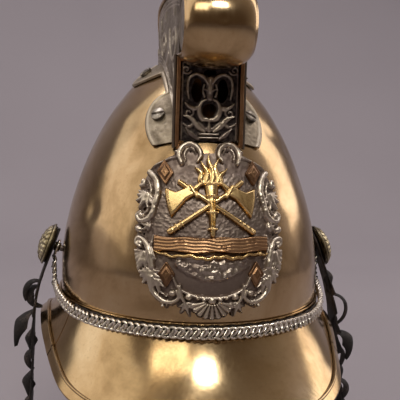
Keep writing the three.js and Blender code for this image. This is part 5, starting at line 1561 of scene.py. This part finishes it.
def liner_band(columns=288, rows=22):
    u, v = grid(columns, rows, round_u=True)
    turn, z = 2 * np.pi * u, mix(BAND_LOW, BAND_HIGH, v)
    soft = 0.35 * (1 + ripple(liner_oval(turn, 0, z), 30, 81)) * smooth(np.minimum(v, 1 - v), 0, 0.3)
    rim = 0.35 * (1 - smooth(np.minimum(v, 1 - v), 0, 0.05))
    outer, inner = BAND_IN + rim, BAND_IN + BAND_THICK + soft - rim
    return shell(liner_oval(turn, outer, z), liner_oval(turn, inner, z), round_u=True)


def liner_crown(columns=384, rows=64):
    u, v = grid(columns, rows, round_u=True)
    turn = 2 * np.pi * u
    rise = v * math.acos(CROWN_HOLE / (HALF_WIDTH - BAND_IN))
    z = mix(BAND_HIGH + GAP, CROWN_Z, np.sin(rise) ** (2 / ROUNDNESS))
    foot = liner_oval(turn, BAND_IN, 0 * z)

    def face(inwards):
        share = 1 - inwards / HALF_WIDTH
        return np.stack([foot[..., 0] * np.cos(rise) * share, foot[..., 1] * np.cos(rise) * share,
                         z - inwards * np.sin(rise)], -1)

    from_slit = np.abs(((turn[:, :-1] / (2 * np.pi) * TONGUES) % 1) - 0.5) * 2 * np.pi / TONGUES
    slit_half = np.interp(v[:, :-1], [0.0, 0.16, 0.2, 1.0], [0, 0, 0.012, 0.075])
    soft = 0.4 * (1 + ripple(face(0.0), 24, 82))
    return shell(face(0.2 * soft), face(BAND_THICK + 0.2 * soft), from_slit > slit_half, round_u=True)


piece_of("lining_head_band", liner_band(), liner_leather, stands_for=["liner_band"], corner=60)
piece_of("lining_tongues", liner_crown(), liner_leather, stands_for=["liner_crown"], corner=60)
ring_line = np.stack([(CROWN_HOLE + 2) * np.cos(circle), (CROWN_HOLE + 2) * np.sin(circle), 0 * circle], 1)
points, faces, marks = wire_loop(ring_line, 1.0, 12)
piece_of("lining_gathering_ring", (points + (0, 0, CROWN_Z + 1.8), faces, marks), screw_brass,
         stands_for=["liner_ring"])


# %% Stitches and rivets
def stitch(length=2.4, thick=0.42):
    t = np.linspace(0, np.pi, 7)
    line = np.stack([-length / 2 * np.cos(t), 0 * t, 0.35 * np.sin(t)], 1)
    ring = np.radians(np.arange(0, 360, 60))
    outline = np.stack([thick * np.cos(ring), thick * np.sin(ring)], 1)
    way = unit(np.gradient(line, axis=0))
    side_way = np.tile(ACROSS, (7, 1))
    return sweep(outline, line, side_way, np.cross(way, side_way))


def band_stitches(z, count=170):
    turn = np.linspace(0, 2 * np.pi, count, endpoint=False)
    p = liner_oval(turn, BAND_IN + BAND_THICK + 0.05, np.full(count, z))
    inwards = -skull_normal(np.stack([p[:, 0], p[:, 1], np.full(count, SEAM_Z)], -1))
    return p, [turn_to(way, np.cross((0, 0, 1), way)) for way in inwards]


low_row, high_row = band_stitches(BAND_LOW + 3), band_stitches(BAND_HIGH - 3)
stamped("lining_stitches", stitch(), np.concatenate([low_row[0], high_row[0]]), low_row[1] + high_row[1],
        linen_thread, slot="liner_leather")


def strap_stitches(side):
    """A row of stitches along each plain edge of the strap's end."""
    places, turns = [], []
    for w in (-0.78, 0.78):
        for s in np.arange(STRAP_LONG - PLAIN_END + 4, STRAP_LONG - 17 + 8 * (side > 0), 3.6):
            here = np.array(float(s)), np.array(w)
            p = strap_surface(side, *here, STRAP_THICK / 2 - 0.05)
            ahead = strap_surface(side, here[0] + 1, here[1], STRAP_THICK / 2)
            out = p - strap_surface(side, *here, -STRAP_THICK / 2)
            places.append(p)
            turns.append(turn_to(out, ahead - p))
    return places, turns


for side, label in ((-1, "left"), (1, "right")):
    stamped("strap_stitches_" + label, stitch(), *strap_stitches(side), linen_thread, "strap_" + label,
            slot="strap_leather")


def rivet():
    """A domed rivet with a flat tail, its Z pointing into the helmet."""
    profile = [(0, 1.25), (1.4, 1.15), (2.7, 0.75), (3.4, 0.25), (3.6, 0.0), (1.8, 0.0), (1.8, -11.5), (0, -11.5)]
    return turned(profile, np.zeros(3), np.array([0, 0, 1.0]), 32)


RIVET_Z, RIVET_TURNS = 56.0, {"front_right": 45, "rear_right": 135, "rear_left": 225, "front_left": 315}
rivet_seats = [skull_point(turn, 0) * (1, 1, 0) + (0, 0, RIVET_Z) for turn in RIVET_TURNS.values()]
rivet_out = [skull_normal(seat) for seat in rivet_seats]
rivet_depth = BAND_IN + BAND_THICK + GAP
stamped("lining_rivets", rivet(), [seat - out * rivet_depth for seat, out in zip(rivet_seats, rivet_out)],
        [turn_to(-out, (0, 0, 1)) for out in rivet_out], screw_brass, slot="brass",
        stands_for=["liner_rivet_" + label for label in RIVET_TURNS])

# %% [markdown]
# ## Fastenings kept from the frame
# The nuts inside the shell and the badge's studs are already the right shape in the frame, so they stay and only get
# a finish. Their meshes aren't touched.

# %% Nuts and studs
for name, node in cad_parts.items():
    if "_nut_" in name or "_stud_" in name:
        node.data.materials.clear()
        node.data.materials.append(screw_brass)

# %% [markdown]
# ## The stage
# Polished metal shows what stands round it, so the surroundings matter as much as the lamps. A pale mauve-grey
# sweep behind and below gives the soft edge reflections, a darker front of the room gives the brown middle tones,
# and a few large soft lamps give the long highlights. The sweep and the lamps aren't part of the object.

# %% Sweep, lamps and room
def stage_paper():
    paper, tree, shader, place = new_finish("grey_background_paper", 0.0)
    shader.inputs["Roughness"].default_value = 0.9
    shader.inputs["Specular IOR Level"].default_value = 0.2
    grain = add_node(tree, "ShaderNodeTexNoise", {"Vector": place, "Scale": 3.0, "Detail": 2.0}).outputs[0]
    tone = add_node(tree, "ShaderNodeValToRGB", {"Fac": grain}, stops=[(0.2, "918B8E"), (0.8, "969093")]).outputs[0]
    tree.links.new(tone, shader.inputs["Base Color"])
    return paper


# in metres: where the floor starts and its bend begins, the bend's radius, the wall's height and the half widths
FLOOR_START, BEND_START, BEND_RADIUS, WALL_TOP = -6.0, 1.0, 0.7, 3.6
FLOOR_HALF, WALL_HALF = 8.0, 3.2


def sweep_of_paper(low):
    bend = [(FLOOR_START, low), (BEND_START, low)]
    bend += [(BEND_START + BEND_RADIUS * math.sin(a), low + BEND_RADIUS - BEND_RADIUS * math.cos(a))
             for a in np.linspace(0.15, math.pi / 2, 12)]
    bend += [(BEND_START + BEND_RADIUS, WALL_TOP)]
    mesh = bpy.data.meshes.new("background_sweep")
    # the floor is wide, and the wall stays narrow, so that the room's light comes round it
    halves = [FLOOR_HALF] + [WALL_HALF] * (len(bend) - 1)
    points = [(x, y, z) for half, (y, z) in zip(halves, bend) for x in (-half, half)]
    faces = [(2 * i, 2 * i + 1, 2 * i + 3, 2 * i + 2) for i in range(len(bend) - 1)]
    mesh.from_pydata(points, [], faces)
    mesh.shade_smooth()
    mesh.materials.append(stage_paper())
    sheet = bpy.data.objects.new("background_sweep", mesh)
    bpy.context.scene.collection.objects.link(sheet)


def lamp(name, place, aim, size, power, tint):
    light = bpy.data.lights.new(name, "AREA")
    light.shape = "RECTANGLE"
    light.size, light.size_y = size
    light.energy = power
    light.color = colour(tint)[:3]
    holder = bpy.data.objects.new(name, light)
    holder.location = place
    holder.rotation_mode = "QUATERNION"
    holder.rotation_quaternion = (Vector(aim) - Vector(place)).to_track_quat("-Z", "Y")
    bpy.context.scene.collection.objects.link(holder)


sweep_of_paper(cad_box[0].z - 0.004)
lamp("lamp_over_left", (-1.35, 0.15, 1.2), (0, 0, 0.15), (1.6, 2.0), 7.5, "FFF8EE")
lamp("lamp_overhead", (0.12, -1.08, 1.28), (0, -0.1, 0.1), (0.34, 0.24), 8, "FFFBF6")
lamp("lamp_over_right", (1.3, 0.55, 0.8), (0, 0, 0.15), (0.6, 1.2), 4, "FFF4EC")
lamp("lamp_front_left", (-0.6, -1.05, 1.2), (0, 0, 0.1), (0.8, 0.45), 4, "FFF6E6")
lamp("lamp_on_background", (0.0, 0.4, 2.4), (0.2, 1.7, 1.2), (2.6, 0.8), 44, "FBF7FF")

room = bpy.data.worlds.new("studio_room")
room.use_nodes = True
bpy.context.scene.world = room
sky = add_node(room.node_tree, "ShaderNodeTexCoord").outputs["Generated"]
depth = add_node(room.node_tree, "ShaderNodeSeparateXYZ", {"Vector": sky}).outputs["Y"]
walls = add_node(room.node_tree, "ShaderNodeMapRange",
                 {"Value": depth, "From Min": -0.75, "From Max": 0.1}).outputs[0]
tone = add_node(room.node_tree, "ShaderNodeValToRGB", {"Fac": walls},
                stops=[(0.0, "4E3F33"), (0.75, "8C8078"), (1.0, "ABA1A3")]).outputs[0]
backdrop = room.node_tree.nodes["Background"]
room.node_tree.links.new(tone, backdrop.inputs["Color"])
backdrop.inputs["Strength"].default_value = 0.88

# %% [markdown]
# ## The camera
# The helmet is seen a little from the left and almost level, by a long lens from about 65 cm. The lens is given as
# its focal length in steps of a frame 400 wide, which turns into millimetres on Blender's 36 mm sensor. A small
# shift puts the lens axis where it belongs in the frame.

# %% Camera
def place_camera(azimuth, elevation, roll, distance, focal, centre, aim=(0, 0, 0.150), frame_width=400):
    a, e, r = (math.radians(angle) for angle in (azimuth, elevation, roll))
    back = Vector((math.sin(a) * math.cos(e), -math.cos(a) * math.cos(e), math.sin(e)))
    level = Vector((math.cos(a), math.sin(a), 0))
    upright = back.cross(level)
    right = level * math.cos(r) + upright * math.sin(r)
    up = upright * math.cos(r) - level * math.sin(r)
    lens = bpy.data.cameras.new("camera")
    lens.lens = focal / frame_width * lens.sensor_width
    lens.shift_x = (frame_width / 2 - centre[0]) / frame_width
    lens.shift_y = -(frame_width / 2 - centre[1]) / frame_width
    lens.clip_start = 0.01
    holder = bpy.data.objects.new("camera", lens)
    turn = Matrix((right, up, back)).transposed().to_4x4()
    holder.matrix_world = Matrix.Translation(Vector(aim) + back * distance) @ turn
    bpy.context.scene.collection.objects.link(holder)
    bpy.context.scene.camera = holder


place_camera(azimuth=-7.88, elevation=4.04, roll=1.56, distance=0.649, focal=875.8, centre=(190.04, 165.45))
bpy.context.scene.view_settings.view_transform = "Standard"
